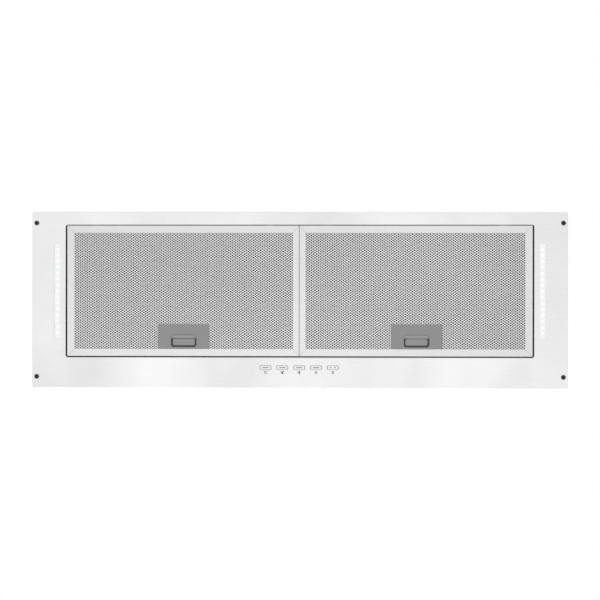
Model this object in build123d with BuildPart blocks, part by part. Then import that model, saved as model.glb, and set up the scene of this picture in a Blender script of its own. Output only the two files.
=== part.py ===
from build123d import *
import math
import os

# Range hood insert: a steel underside plate with two hinged grease filters, two lamps and five
# buttons, and above it the casing, the motor box with its blower, and the duct outlet.
# Millimetres. +Z is up, -Y is the front edge with the buttons. Z = 0 is the cabinet's underside,
# where the folded rim of the face plate bears, and X = Y = 0 is the middle of the screw pattern.

# ---------------------------------------------------------------- driving dimensions

# depth of a cut that goes through a sheet from its inner or its middle face
through_cut = 4.0

# face plate
face_length = 860.0
face_depth = 282.5
rim_height = 6.0
face_sheet = 1.0
face_corner_radius = 4.0
face_edge_radius = 0.8
corner_relief = 4.5
end_margin = 54.15
front_margin = 49.2
rear_margin = 21.0
opening_radius = 3.0
opening_bend_radius = 1.5
opening_flange = 12.0

# screws into the cabinet
screw_inset_x = 7.2
screw_inset_y = 17.8
screw_radius = 2.0
screw_neck_radius = 2.4
screw_head_radius = 3.8
screw_head_height = 2.2
screw_reach = 14.0
screw_hole_clearance = 0.3

# grease filters
filter_side_gap = 2.0
filter_middle_gap = 0.3
filter_front_gap = 1.45
filter_rear_gap = 0.7
filter_thickness = 9.0
filter_wall = 1.0
frame_outer_width = 12.2
frame_middle_width = 10.2
frame_rear_width = 11.9
frame_front_width = 11.6
frame_back_width = 8.0
frame_bend_radius = 0.8
mitre_groove = 0.3
mesh_sheet = 0.5
mesh_clearance = 0.2
gap_pitch_x = 24.5
gap_pitch_y = 17.3
gap_radius = 5.6
gap_edge = 2.5
inner_sheet = 0.4
inner_sheet_count = 3

# hinge tongues of the filters, in slots of the opening's rear edge
tongue_width = 12.0
tongue_thickness = 1.0
tongue_reach = 5.5
tongue_inset = 47.0
tongue_side_clearance = 1.0
tongue_seat_gap = 0.2
pivot_inset = 3.6
pivot_height = 2.6
filter_swing = 55.0

# latch of a filter
latch_plate_length = 81.8
latch_plate_depth = 39.7
latch_shift = -1.2
latch_sheet = 0.8
latch_fit = 0.3
pocket_length = 41.0
pocket_depth = 20.0
pocket_radius = 4.5
pocket_border = 2.8
pocket_edge_radius = 0.4
pocket_wall = 1.0
pocket_height = 3.8
slider_floor = 1.0
slider_gap = 0.3
slider_overhang = 2.5
slider_travel = 3.0
lip_depth = 6.1
lip_slope = 1.4
lip_tail = 3.7
lip_groove = 0.7
lip_groove_depth = 1.6
lip_shadow_gap = 0.8
pad_moat = 2.8
pad_height = 1.9
pad_radius = 2.6
bolt_width = 20.0
bolt_slot_clearance = 0.5
keeper_clearance = 1.0
keeper_gap = 0.3
rail_wall = 1.2
rail_hook = 1.6
rail_sheet = 0.7
spring_pressed_length = 6.0
spring_radius = 1.3
spring_wire = 0.5
spring_turns = 5
spring_post = 1.0
spring_post_width = 8.0
latch_margin = 1.5

# lamps
lamp_inset = 39.8
lamp_length = 154.0
lamp_width = 10.0
lamp_radius = 1.5
lamp_fit = 0.15
lens_flange = 2.0
lens_flange_sheet = 1.2
led_count = 15
led_pitch = 9.63
led_size = 3.5
led_height = 1.0
lamp_air = 4.0
lamp_board = 1.2
lamp_board_width = 11.0
holder_wall = 1.2
holder_fit = 0.3

# buttons
button_pitch = 27.0
button_length = 16.8
button_width = 6.0
button_radius = 1.5
button_edge_radius = 0.3
button_inset = 32.5
button_proud = 0.6
button_travel = 1.5
button_fit = 0.5
button_end_fit = 0.8
button_rim = 1.6
button_rim_sheet = 1.0
button_rim_gap = 0.3
button_stem_length = 10.0
button_stem_width = 4.0
window_length = 10.0
window_width = 1.5
window_recess = 0.3
window_radius = 0.5
well_clearance = 0.4
holder_side = 1.6
switch_holder_height = 13.0
switch_board_sheet = 1.6
switch_size = 6.0
switch_height = 3.4
plunger_radius = 1.75
plunger_height = 1.0
plunger_gap = 0.2

# casing round the filter space
panel_sheet = 1.0
rim_overlap_x = 17.0
rim_overlap_y = 9.5
case_height = 85.0
panel_flange = 10.0
rear_foot_flange = 5.0
flange_gap = 0.5

# motor box on the casing
motor_box_length = 330.0
motor_box_setback = 6.0
motor_box_height = 145.0

# small sheet metal screws
small_screw_radius = 1.8
small_screw_head_radius = 3.6
small_screw_head_height = 2.2
small_screw_edge_radius = 0.7
small_screw_length = 8.0
small_screw_clearance = 0.2
case_screw_inset = 33.0
case_screw_gap = 75.0
box_screw_inset = 65.0

# blower
blower_y = -25.0
blower_drop = 108.0
wheel_radius = 65.0
wheel_width = 100.0
blade_depth = 10.0
blade_count = 32
blade_sheet = 0.8
blade_skew = 9.0
blade_bulge = 1.6
wheel_ring = 2.0
wheel_disc = 1.5
hub_radius = 12.0
hub_length = 14.0
shaft_radius = 4.0
shaft_clearance = 0.05
volute_gap = 10.0
volute_step = 10.0
cutoff_angle = 75.0
scroll_side_gap = 6.0
scroll_sheet = 1.0
inlet_radius = 54.0
cheek_flange = 12.0

# motor
motor_radius = 42.0
motor_disc_gap = 8.0
motor_nose_radius = 10.0
motor_nose = 4.0
motor_tail_radius = 22.0
motor_tail = 9.0
motor_edge_radius = 4.0
bracket_sheet = 2.0
bracket_ring_radius = 38.0
bracket_arm_width = 13.0
bracket_arm_count = 3
bracket_reach = 7.0
bracket_hole_gap = 2.0
shaft_end = 3.0

# electrics
capacitor_inset = 55.0
capacitor_rise = 65.0
capacitor_radius = 17.0
capacitor_length = 58.0
capacitor_edge_radius = 4.0
capacitor_stud_radius = 4.0
capacitor_stud = 5.5
capacitor_nut_radius = 6.5
capacitor_nut = 4.0
stud_clearance = 0.3
control_length = 60.0
control_height = 90.0
control_depth = 28.0
control_wall = 2.0
control_inset = 15.0
control_rise = 80.0
control_cover = 2.0
board_sheet = 1.6
board_fit = 1.0
board_post = 2.5
board_post_radius = 3.0
board_post_inset = 6.0
relay_size = 15.0
relay_height = 12.0
relay_pitch = 20.0
relay_count = 4
terminal_length = 40.0
terminal_height = 12.0
terminal_depth = 12.0
terminal_ways = 5
terminal_screw_radius = 1.8
terminal_screw_depth = 3.0
driver_length = 80.0
driver_height = 36.0
driver_depth = 22.0
driver_inset = 20.0
driver_rise = 60.0
driver_radius = 2.0
gland_inset = 65.0
gland_rise = 105.0
gland_bore_radius = 4.2
gland_thread_radius = 8.0
gland_hex_radius = 10.5
gland_hex = 5.0
gland_dome_radius = 9.0
gland_dome = 11.0
gland_dome_edge = 2.0
gland_nut_radius = 11.0
gland_nut = 4.0
gland_tail = 2.0
gland_clearance = 0.2

# duct outlet with its backdraft damper
collar_radius = 74.5
collar_wall = 2.0
collar_height = 45.0
collar_flange_radius = 85.0
collar_flange_sheet = 2.5
collar_screw_count = 4
damper_rise = 12.0
damper_ledge = 3.0
damper_ledge_sheet = 1.5
damper_seat_gap = 0.3
damper_sheet = 1.2
damper_rim_gap = 0.7
damper_rod_radius = 2.0
damper_rod_clearance = 0.1
rod_fit = 0.02
knuckle_radius = 3.6
knuckle_gap = 0.5
knuckle_length = 22.0
rod_notch = 0.6

# ---------------------------------------------------------------- places worked out from them

os.makedirs("parts", exist_ok=True)

face_bottom = -rim_height
face_top = face_bottom + face_sheet
flange_top = face_bottom + opening_flange
opening_length = face_length - 2 * end_margin
opening_depth = face_depth - front_margin - rear_margin
opening_y = (front_margin - rear_margin) / 2
opening_front = opening_y - opening_depth / 2
opening_rear = opening_y + opening_depth / 2
screw_x = face_length / 2 - screw_inset_x
screw_y = face_depth / 2 - screw_inset_y

filter_length = (opening_length - 2 * filter_side_gap - filter_middle_gap) / 2
filter_depth = opening_depth - filter_front_gap - filter_rear_gap
filter_x = (filter_middle_gap + filter_length) / 2
filter_front = opening_front + filter_front_gap
filter_rear = opening_rear - filter_rear_gap
filter_y = (filter_front + filter_rear) / 2
filter_top = face_bottom + filter_thickness
mesh_length = filter_length - frame_outer_width - frame_middle_width
mesh_depth = filter_depth - frame_front_width - frame_rear_width
mesh_shift = (frame_middle_width - frame_outer_width) / 2
mesh_front = filter_front + frame_front_width
mesh_y = mesh_front + mesh_depth / 2
sheet_length = filter_length - 2 * (filter_wall + mesh_clearance)
sheet_depth = filter_depth - 2 * (filter_wall + mesh_clearance)
front_mesh_z = face_bottom + filter_wall
back_mesh_z = filter_top - filter_wall - mesh_sheet
pivot_y = filter_rear - pivot_inset
pivot_z = face_bottom + pivot_height
tongue_z = pivot_z - tongue_thickness / 2
tongue_x = filter_length / 2 - tongue_inset

latch_z = front_mesh_z - latch_sheet
latch_front = mesh_front + latch_fit
latch_rear = latch_front + latch_plate_depth
pocket_front = latch_front + pocket_border
pocket_rear = pocket_front + pocket_depth
pocket_top = front_mesh_z + pocket_height
slider_z = pocket_top + slider_gap
slider_top = slider_z + slider_floor
lip_front = pocket_rear - lip_depth
lip_rear = pocket_rear + lip_tail
lip_z = front_mesh_z + slider_gap
bolt_nose = opening_front + keeper_gap
spring_length = spring_pressed_length + slider_travel
spring_end = lip_rear + spring_length
post_rear = spring_end + spring_post
slider_half = pocket_length / 2 + slider_overhang
rail_inner = slider_half + slider_gap
rail_outer = rail_inner + rail_wall
rail_top = slider_top + slider_gap + rail_sheet
latch_space = rail_outer + latch_margin
latch_space_rear = post_rear + latch_fit

lamp_x = face_length / 2 - lamp_inset
lens_top = face_top + lens_flange_sheet
lamp_board_z = lens_top + lamp_air
lamp_board_top = lamp_board_z + lamp_board
holder_inner_width = lamp_width + 2 * (lens_flange + holder_fit)
holder_inner_length = lamp_length + 2 * (lens_flange + holder_fit)

button_y = button_inset - face_depth / 2
button_low = face_bottom - button_proud
button_rim_z = face_top + button_rim_gap
well_length = button_length + 2 * (button_rim + well_clearance)
well_width = button_width + 2 * (button_rim + well_clearance)
switch_holder_top = face_top + switch_holder_height
plunger_z = switch_holder_top - switch_height - plunger_height
stem_top = plunger_z - button_travel - plunger_gap
button_names = ("button_off", "button_high", "button_medium", "button_low", "button_light")

case_length = face_length - 2 * rim_overlap_x
case_depth = face_depth - 2 * rim_overlap_y
case_wall_height = case_height - panel_sheet - face_top
flange_trim = panel_sheet + panel_flange + flange_gap
motor_box_depth = case_depth - 2 * motor_box_setback
motor_box_top = case_height + motor_box_height
box_wall_height = motor_box_height - panel_sheet
box_ceiling = motor_box_top - panel_sheet
box_inner_y = motor_box_depth / 2 - panel_sheet
case_screw_y = case_depth / 2 - panel_sheet - panel_flange / 2
case_screw_x = (case_length / 2 - case_screw_inset, motor_box_length / 2 + case_screw_gap)
box_screw_x = motor_box_length / 2 - panel_sheet - panel_flange / 2
box_screw_y = motor_box_depth / 2 - box_screw_inset
small_hole_radius = small_screw_radius + small_screw_clearance

blower_z = motor_box_top - blower_drop
scroll_half = wheel_width / 2 + scroll_side_gap
volute_radius = wheel_radius + volute_gap
outlet_rear = blower_y + volute_step / 2 + volute_radius + 2 * volute_step
outlet_front = blower_y - volute_step / 2 + volute_radius * math.cos(math.radians(cutoff_angle))
outlet_y = (outlet_front + outlet_rear) / 2
cheek_outer = scroll_half + scroll_sheet
bracket_outer = cheek_outer + bracket_sheet
bracket_screw_radius = inlet_radius + bracket_reach

collar_bore = collar_radius - collar_wall
collar_screw_radius = (collar_radius + collar_flange_radius) / 2
rod_z = motor_box_top + damper_rise
ledge_top = rod_z - damper_sheet / 2 - damper_seat_gap
flap_radius = collar_bore - damper_rim_gap
flap_start = knuckle_radius + knuckle_gap

sides = (("left", 1), ("right", -1))
low_corner = (Align.CENTER, Align.CENTER, Align.MIN)
wall_align = (Align.CENTER, Align.MIN, Align.MIN)


def wall_plane(toward_x, toward_y, distance, height):
    """The plane at the foot of an upright wall, its origin on the outer face and +Y pointing inwards."""
    return Plane(
        origin=(toward_x * distance, toward_y * distance, height),
        x_dir=(-toward_y, toward_x, 0),
        z_dir=(0, 0, 1),
    )


def folded_panel(plane, length, height, foot, head, trim):
    """An upright sheet with a flange turned inwards at its foot and at its head."""
    with BuildPart(plane) as panel:
        Box(length, panel_sheet, height, align=wall_align)
        Box(length - 2 * trim, panel_sheet + foot, panel_sheet, align=wall_align)
        with Locations((0, 0, height - panel_sheet)):
            Box(length - 2 * trim, panel_sheet + head, panel_sheet, align=wall_align)
    return panel.part


def small_screw(x, y, z, direction):
    """A pan head sheet metal screw: its head sits on the point and faces the direction."""
    seat = Plane(origin=(x, y, z), z_dir=direction)
    with BuildPart(seat) as screw:
        Cylinder(small_screw_head_radius, small_screw_head_height, align=low_corner)
        top_edge = screw.edges().sort_by(Axis(seat.origin, seat.z_dir))[-1]
        fillet(top_edge, small_screw_edge_radius)
        with Locations((0, 0, -small_screw_length)):
            Cylinder(small_screw_radius, small_screw_length, align=low_corner)
    return screw.part


def volute_outline(grow):
    """The closed outline of the scroll's flow space in the YZ plane, its wall moved outwards by grow."""
    half_step = volute_step / 2
    first = volute_radius + grow
    tongue = math.degrees(
        math.acos((volute_radius * math.cos(math.radians(cutoff_angle)) - grow) / first)
    )
    turn_1 = CenterArc((blower_y - half_step, blower_z - half_step), first, tongue, 180 - tongue)
    CenterArc((blower_y + half_step, blower_z - half_step), first + volute_step, 180, 90)
    turn_3 = CenterArc((blower_y + half_step, blower_z + half_step), first + 2 * volute_step, 270, 90)
    Polyline(
        turn_3 @ 1,
        ((turn_3 @ 1).X, box_ceiling),
        ((turn_1 @ 0).X, box_ceiling),
        turn_1 @ 0,
    )


# ---------------------------------------------------------------- face plate

with BuildPart() as face_plate:
    with BuildSketch(Plane.XY.offset(face_bottom)):
        RectangleRounded(face_length, face_depth, face_corner_radius)
    extrude(amount=face_sheet)
    fillet(face_plate.faces().sort_by(Axis.Z)[0].outer_wire().edges(), face_edge_radius)

    # the rim folded back on each side, open at the corners
    with BuildSketch(Plane.XY.offset(face_top)):
        with GridLocations(0, face_depth - face_sheet, 1, 2):
            Rectangle(face_length - 2 * corner_relief, face_sheet)
        with GridLocations(face_length - face_sheet, 0, 2, 1):
            Rectangle(face_sheet, face_depth - 2 * corner_relief)
    extrude(amount=-face_top)

    # the filter opening with its turned-up edge
    with BuildSketch(Plane.XY.offset(face_top)):
        with Locations((0, opening_y)):
            RectangleRounded(
                opening_length + 2 * face_sheet,
                opening_depth + 2 * face_sheet,
                opening_radius + face_sheet,
            )
    extrude(amount=flange_top - face_top)
    with BuildSketch(Plane.XY.offset(face_bottom)):
        with Locations((0, opening_y)):
            RectangleRounded(opening_length, opening_depth, opening_radius)
    extrude(amount=opening_flange, mode=Mode.SUBTRACT)
    fillet(face_plate.faces().sort_by(Axis.Z)[0].inner_wires()[0].edges(), opening_bend_radius)

    # tall slots for the hinge tongues: a swung tongue still passes through them
    swing = math.radians(filter_swing)
    tongue_lever = opening_rear + face_sheet - pivot_y
    tongue_rise = math.tan(swing) * tongue_lever + tongue_thickness / 2 / math.cos(swing)
    slot_low = tongue_z - tongue_seat_gap
    slot_high = pivot_z + tongue_rise + tongue_seat_gap
    for side_name, side in sides:
        for end in (-1, 1):
            with Locations((side * filter_x + end * tongue_x, opening_rear, slot_low)):
                Box(
                    tongue_width + 2 * tongue_side_clearance,
                    through_cut,
                    slot_high - slot_low,
                    align=low_corner,
                    mode=Mode.SUBTRACT,
                )
        # keeper slot of the latch bolt
        with Locations((side * filter_x + latch_shift, opening_front, slider_z - bolt_slot_clearance)):
            Box(
                bolt_width + 2 * keeper_clearance,
                through_cut,
                slider_floor + 2 * bolt_slot_clearance,
                align=low_corner,
                mode=Mode.SUBTRACT,
            )

    # lamp slots, button holes and screw holes
    with BuildSketch(Plane.XY.offset(face_bottom)):
        with Locations((lamp_x, opening_y), (-lamp_x, opening_y)):
            RectangleRounded(lamp_width, lamp_length, lamp_radius)
        with Locations((0, button_y)):
            with GridLocations(button_pitch, 0, len(button_names), 1):
                RectangleRounded(
                    button_length + 2 * button_end_fit,
                    button_width + 2 * button_fit,
                    button_radius + button_fit,
                )
        with GridLocations(2 * screw_x, 2 * screw_y, 2, 2):
            Circle(screw_neck_radius + screw_hole_clearance)
    extrude(amount=face_sheet, mode=Mode.SUBTRACT)

face_plate.part.label = "face_plate"
export_step(face_plate.part, "parts/face_plate.step")

with BuildPart() as cabinet_screws:
    with BuildSketch(Plane.XY.offset(face_bottom - screw_head_height)):
        with GridLocations(2 * screw_x, 2 * screw_y, 2, 2):
            Circle(screw_head_radius)
    extrude(amount=screw_head_height)
    fillet(cabinet_screws.edges().group_by(Axis.Z)[0], screw_head_height / 2)
    with BuildSketch(Plane.XY.offset(face_bottom)):
        with GridLocations(2 * screw_x, 2 * screw_y, 2, 2):
            Circle(screw_neck_radius)
    extrude(amount=face_sheet)
    with BuildSketch(Plane.XY.offset(face_top)):
        with GridLocations(2 * screw_x, 2 * screw_y, 2, 2):
            Circle(screw_radius)
    extrude(amount=screw_reach - face_top)
    chamfer(cabinet_screws.edges().group_by(Axis.Z)[-1], screw_radius / 2)

cabinet_screws.part.label = "cabinet_screws"
export_step(cabinet_screws.part, "parts/cabinet_screws.step")

# ---------------------------------------------------------------- grease filters


def mesh_gaps(centre_x, latch_x):
    """Staggered places of the gaps in a perforated sheet, without those within reach of a latch plate.

    latch_x is the middle of the latch plate, or None in a sheet that has no latch plate.
    """
    half_length = mesh_length / 2 - gap_edge - gap_radius
    half_depth = mesh_depth / 2 - gap_edge - gap_radius
    columns = math.floor(2 * half_length / (gap_pitch_x / 2)) + 1
    rows = math.floor(2 * half_depth / (gap_pitch_y / 2)) + 1
    latch_half = latch_plate_length / 2 + gap_radius
    latch_limit = latch_rear + gap_radius
    places = []
    for column in range(columns):
        for row in range(rows):
            x = (column - (columns - 1) / 2) * gap_pitch_x / 2
            y = mesh_y + (row - (rows - 1) / 2) * gap_pitch_y / 2
            by_latch = latch_x is not None and abs(centre_x + x - latch_x) < latch_half
            if (column + row) % 2 == 0 and not (by_latch and y < latch_limit):
                places.append((centre_x + x, y))
    return places


for side_name, side in sides:
    middle = side * filter_x
    latch_x = middle + latch_shift
    mesh_x = middle + side * mesh_shift

    with BuildPart() as frame:
        # visible flange, outer wall and narrower back flange of the folded channel
        with BuildSketch(Plane.XY.offset(face_bottom)):
            with Locations((middle, filter_y)):
                Rectangle(filter_length, filter_depth)
            with Locations((mesh_x, mesh_y)):
                Rectangle(mesh_length, mesh_depth, mode=Mode.SUBTRACT)
        extrude(amount=filter_wall)
        with BuildSketch(Plane.XY.offset(face_bottom)):
            with Locations((middle, filter_y)):
                Rectangle(filter_length, filter_depth)
                Rectangle(
                    filter_length - 2 * filter_wall,
                    filter_depth - 2 * filter_wall,
                    mode=Mode.SUBTRACT,
                )
        extrude(amount=filter_thickness)
        with BuildSketch(Plane.XY.offset(filter_top - filter_wall)):
            with Locations((middle, filter_y)):
                Rectangle(filter_length, filter_depth)
                Rectangle(
                    filter_length - 2 * frame_back_width,
                    filter_depth - 2 * frame_back_width,
                    mode=Mode.SUBTRACT,
                )
        extrude(amount=filter_wall)
        fillet(frame.faces().sort_by(Axis.Z)[0].outer_wire().edges(), frame_bend_radius)

        # the joints of the mitred corners, as fine grooves in the visible face
        with BuildSketch(Plane.XY.offset(face_bottom)):
            for end_x in (-1, 1):
                for end_y in (-1, 1):
                    corner = Vector(
                        middle + end_x * filter_length / 2, filter_y + end_y * filter_depth / 2
                    )
                    inner = Vector(mesh_x + end_x * mesh_length / 2, mesh_y + end_y * mesh_depth / 2)
                    along = (inner - corner).normalized()
                    groove_start = corner + along * (math.sqrt(2) * frame_bend_radius + mitre_groove)
                    groove_end = inner + along * mitre_groove
                    with Locations((groove_start + groove_end) / 2):
                        Rectangle(
                            (groove_end - groove_start).length,
                            mitre_groove,
                            rotation=math.degrees(math.atan2(along.Y, along.X)),
                        )
        extrude(amount=mitre_groove, mode=Mode.SUBTRACT)

        # way out of the latch bolt
        with Locations((latch_x, filter_front, slider_z - bolt_slot_clearance)):
            Box(
                bolt_width + 2 * bolt_slot_clearance,
                through_cut,
                slider_floor + 2 * bolt_slot_clearance,
                align=low_corner,
                mode=Mode.SUBTRACT,
            )
        # hinge tongues
        with BuildSketch(Plane.XY.offset(tongue_z)):
            with Locations((middle, filter_rear - filter_wall)):
                with GridLocations(2 * tongue_x, 0, 2, 1):
                    Rectangle(
                        tongue_width,
                        filter_wall + tongue_reach,
                        align=(Align.CENTER, Align.MIN),
                    )
        extrude(amount=tongue_thickness)
    frame.part.label = f"filter_{side_name}_frame"
    export_step(frame.part, f"parts/filter_{side_name}_frame.step")

    with BuildPart() as front_mesh:
        with BuildSketch(Plane.XY.offset(front_mesh_z)):
            with Locations((middle, filter_y)):
                Rectangle(sheet_length, sheet_depth)
            with Locations(*mesh_gaps(mesh_x, latch_x)):
                Circle(gap_radius, mode=Mode.SUBTRACT)
            with Locations((latch_x, filter_y - sheet_depth / 2)):
                Rectangle(
                    2 * latch_space,
                    latch_space_rear - filter_y + sheet_depth / 2,
                    align=(Align.CENTER, Align.MIN),
                    mode=Mode.SUBTRACT,
                )
        extrude(amount=mesh_sheet)
    front_mesh.part.label = f"filter_{side_name}_front_mesh"
    export_step(front_mesh.part, f"parts/filter_{side_name}_front_mesh.step")

    with BuildPart() as back_mesh:
        with BuildSketch(Plane.XY.offset(back_mesh_z)):
            with Locations((middle, filter_y)):
                Rectangle(sheet_length, sheet_depth)
            with Locations(*mesh_gaps(mesh_x, None)):
                Circle(gap_radius, mode=Mode.SUBTRACT)
        extrude(amount=mesh_sheet)
    back_mesh.part.label = f"filter_{side_name}_back_mesh"
    export_step(back_mesh.part, f"parts/filter_{side_name}_back_mesh.step")

    # expanded metal layers between the two perforated sheets, cut away round the latch
    layer_space = back_mesh_z - front_mesh_z - mesh_sheet
    layer_step = (layer_space - inner_sheet) / (inner_sheet_count + 1)
    with BuildPart() as inner_mesh:
        for layer in range(inner_sheet_count):
            layer_z = front_mesh_z + mesh_sheet + (layer + 1) * layer_step
            with BuildSketch(Plane.XY.offset(layer_z)):
                with Locations((middle, filter_y)):
                    Rectangle(sheet_length, sheet_depth)
                with Locations((latch_x, filter_y - sheet_depth / 2)):
                    Rectangle(
                        2 * latch_space,
                        latch_space_rear - filter_y + sheet_depth / 2,
                        align=(Align.CENTER, Align.MIN),
                        mode=Mode.SUBTRACT,
                    )
            extrude(amount=inner_sheet)
    inner_mesh.part.label = f"filter_{side_name}_inner_mesh"
    export_step(inner_mesh.part, f"parts/filter_{side_name}_inner_mesh.step")

    # latch plate: sheet, finger pocket open to the rear, rails for the slider, post for the spring
    with BuildPart() as latch_plate:
        with BuildSketch(Plane.XY.offset(latch_z)):
            with Locations((latch_x, (latch_front + latch_rear) / 2)):
                Rectangle(latch_plate_length, latch_plate_depth)
        extrude(amount=latch_sheet)
        with BuildSketch(Plane.XY.offset(front_mesh_z)):
            with Locations((latch_x, (pocket_front + pocket_rear) / 2)):
                RectangleRounded(
                    pocket_length + 2 * pocket_wall,
                    pocket_depth + 2 * pocket_wall,
                    pocket_radius + pocket_wall,
                )
            with Locations((latch_x, lip_front)):
                Rectangle(
                    pocket_length + 4 * pocket_wall,
                    pocket_depth,
                    align=(Align.CENTER, Align.MIN),
                    mode=Mode.SUBTRACT,
                )
        extrude(amount=pocket_height)
        with BuildSketch(Plane.XY.offset(latch_z)):
            with Locations((latch_x, (pocket_front + pocket_rear) / 2)):
                RectangleRounded(pocket_length, pocket_depth, pocket_radius)
        extrude(amount=latch_sheet + pocket_height, mode=Mode.SUBTRACT)
        fillet(latch_plate.faces().sort_by(Axis.Z)[0].inner_wires()[0].edges(), pocket_edge_radius)
        rail_length = lip_rear - pocket_front
        with BuildSketch(Plane.XY.offset(front_mesh_z)):
            with Locations((latch_x, (lip_rear + pocket_front) / 2)):
                with GridLocations(rail_inner + rail_outer, 0, 2, 1):
                    Rectangle(rail_wall, rail_length)
        extrude(amount=rail_top - front_mesh_z)
        with BuildSketch(Plane.XY.offset(rail_top - rail_sheet)):
            with Locations((latch_x, (lip_rear + pocket_front) / 2)):
                with GridLocations(2 * rail_outer - rail_wall - rail_hook, 0, 2, 1):
                    Rectangle(rail_wall + rail_hook, rail_length)
        extrude(amount=rail_sheet)
        with Locations((latch_x, spring_end, front_mesh_z)):
            Box(spring_post_width, spring_post, slider_z - front_mesh_z, align=wall_align)
    latch_plate.part.label = f"latch_plate_{side_name}"
    export_step(latch_plate.part, f"parts/latch_plate_{side_name}.step")

    # slider: floor with the bolt, sloping finger lip and raised pad
    with BuildPart() as slider:
        with BuildSketch(Plane.XY.offset(slider_z)):
            with Locations((latch_x, pocket_front - pocket_wall)):
                Rectangle(
                    2 * slider_half,
                    lip_rear - pocket_front + pocket_wall,
                    align=(Align.CENTER, Align.MIN),
                )
            with Locations((latch_x, bolt_nose)):
                Rectangle(bolt_width, pocket_front - bolt_nose, align=(Align.CENTER, Align.MIN))
        extrude(amount=slider_floor)
        lip_half = pocket_length / 2 - slider_gap
        with BuildSketch(Plane.YZ.offset(latch_x - lip_half)):
            with BuildLine():
                Polyline(
                    (lip_rear, slider_z),
                    (lip_rear, lip_z),
                    (pocket_rear, lip_z),
                    (pocket_rear, lip_z + lip_groove_depth),
                    (pocket_rear - lip_groove, lip_z + lip_groove_depth),
                    (pocket_rear - lip_groove, lip_z),
                    (lip_front, lip_z + lip_slope),
                    (lip_front, slider_z),
                    close=True,
                )
            make_face()
        extrude(amount=2 * lip_half)
        pad_front = pocket_front + pad_moat
        pad_rear = lip_front - lip_shadow_gap
        with BuildSketch(Plane.XY.offset(slider_z - pad_height)):
            with Locations((latch_x, (pad_front + pad_rear) / 2)):
                RectangleRounded(pocket_length - 2 * pad_moat, pad_rear - pad_front, pad_radius)
        extrude(amount=pad_height)
    slider.part.label = f"latch_slider_{side_name}"
    export_step(slider.part, f"parts/latch_slider_{side_name}.step")

    with BuildPart() as latch_spring:
        with BuildLine():
            coil_height = spring_length - spring_wire
            coil = Helix(
                coil_height / spring_turns,
                coil_height,
                spring_radius,
                center=(latch_x, lip_rear + spring_wire / 2, (lip_z + slider_z) / 2),
                direction=(0, 1, 0),
            )
        with BuildSketch(Plane(origin=coil @ 0, z_dir=coil % 0)):
            Circle(spring_wire / 2)
        sweep(path=coil, is_frenet=True)
    latch_spring.part.label = f"latch_spring_{side_name}"
    export_step(latch_spring.part, f"parts/latch_spring_{side_name}.step")

# ---------------------------------------------------------------- lamps

for side_name, side in sides:
    with BuildPart() as lens:
        with BuildSketch(Plane.XY.offset(face_bottom)):
            with Locations((side * lamp_x, opening_y)):
                RectangleRounded(
                    lamp_width - 2 * lamp_fit, lamp_length - 2 * lamp_fit, lamp_radius - lamp_fit
                )
        extrude(amount=face_sheet)
        with BuildSketch(Plane.XY.offset(face_top)):
            with Locations((side * lamp_x, opening_y)):
                Rectangle(lamp_width + 2 * lens_flange, lamp_length + 2 * lens_flange)
        extrude(amount=lens_flange_sheet)
    lens.part.label = f"led_lens_{side_name}"
    export_step(lens.part, f"parts/led_lens_{side_name}.step")

    with BuildPart() as led_strip:
        with BuildSketch(Plane.XY.offset(lamp_board_z)):
            with Locations((side * lamp_x, opening_y)):
                Rectangle(lamp_board_width, lamp_length)
        extrude(amount=lamp_board)
        with BuildSketch(Plane.XY.offset(lamp_board_z)):
            with Locations((side * lamp_x, opening_y)):
                with GridLocations(0, led_pitch, 1, led_count):
                    Rectangle(led_size, led_size)
        extrude(amount=-led_height)
    led_strip.part.label = f"led_strip_{side_name}"
    export_step(led_strip.part, f"parts/led_strip_{side_name}.step")

    with BuildPart() as led_holder:
        with BuildSketch(Plane.XY.offset(face_top)):
            with Locations((side * lamp_x, opening_y)):
                Rectangle(
                    holder_inner_width + 2 * holder_wall, holder_inner_length + 2 * holder_wall
                )
        extrude(amount=lamp_board_top + holder_wall - face_top)
        with BuildSketch(Plane.XY.offset(face_top)):
            with Locations((side * lamp_x, opening_y)):
                Rectangle(holder_inner_width, holder_inner_length)
        extrude(amount=lamp_board_top - face_top, mode=Mode.SUBTRACT)
    led_holder.part.label = f"led_holder_{side_name}"
    export_step(led_holder.part, f"parts/led_holder_{side_name}.step")

# ---------------------------------------------------------------- buttons and switches

for index, button_name in enumerate(button_names):
    button_x = ((len(button_names) - 1) / 2 - index) * button_pitch
    with BuildPart() as button:
        with BuildSketch(Plane.XY.offset(button_low)):
            with Locations((button_x, button_y)):
                RectangleRounded(button_length, button_width, button_radius)
        extrude(amount=button_rim_z - button_low)
        fillet(button.faces().sort_by(Axis.Z)[0].outer_wire().edges(), button_edge_radius)
        with BuildSketch(Plane.XY.offset(button_low)):
            with Locations((button_x, button_y)):
                RectangleRounded(window_length, window_width, window_radius)
        extrude(amount=window_recess, mode=Mode.SUBTRACT)
        with BuildSketch(Plane.XY.offset(button_rim_z)):
            with Locations((button_x, button_y)):
                RectangleRounded(
                    button_length + 2 * button_rim, button_width + 2 * button_rim, button_radius
                )
        extrude(amount=button_rim_sheet)
        with BuildSketch(Plane.XY.offset(button_rim_z + button_rim_sheet)):
            with Locations((button_x, button_y)):
                Rectangle(button_stem_length, button_stem_width)
        extrude(amount=stem_top - button_rim_z - button_rim_sheet)
    button.part.label = button_name
    export_step(button.part, f"parts/{button_name}.step")

with BuildPart() as switch_holder:
    holder_length = (len(button_names) - 1) * button_pitch + well_length + 2 * holder_side
    with BuildSketch(Plane.XY.offset(face_top)):
        with Locations((0, button_y)):
            Rectangle(holder_length, well_width + 2 * holder_side)
            with GridLocations(button_pitch, 0, len(button_names), 1):
                Rectangle(well_length, well_width, mode=Mode.SUBTRACT)
    extrude(amount=switch_holder_height)

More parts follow.
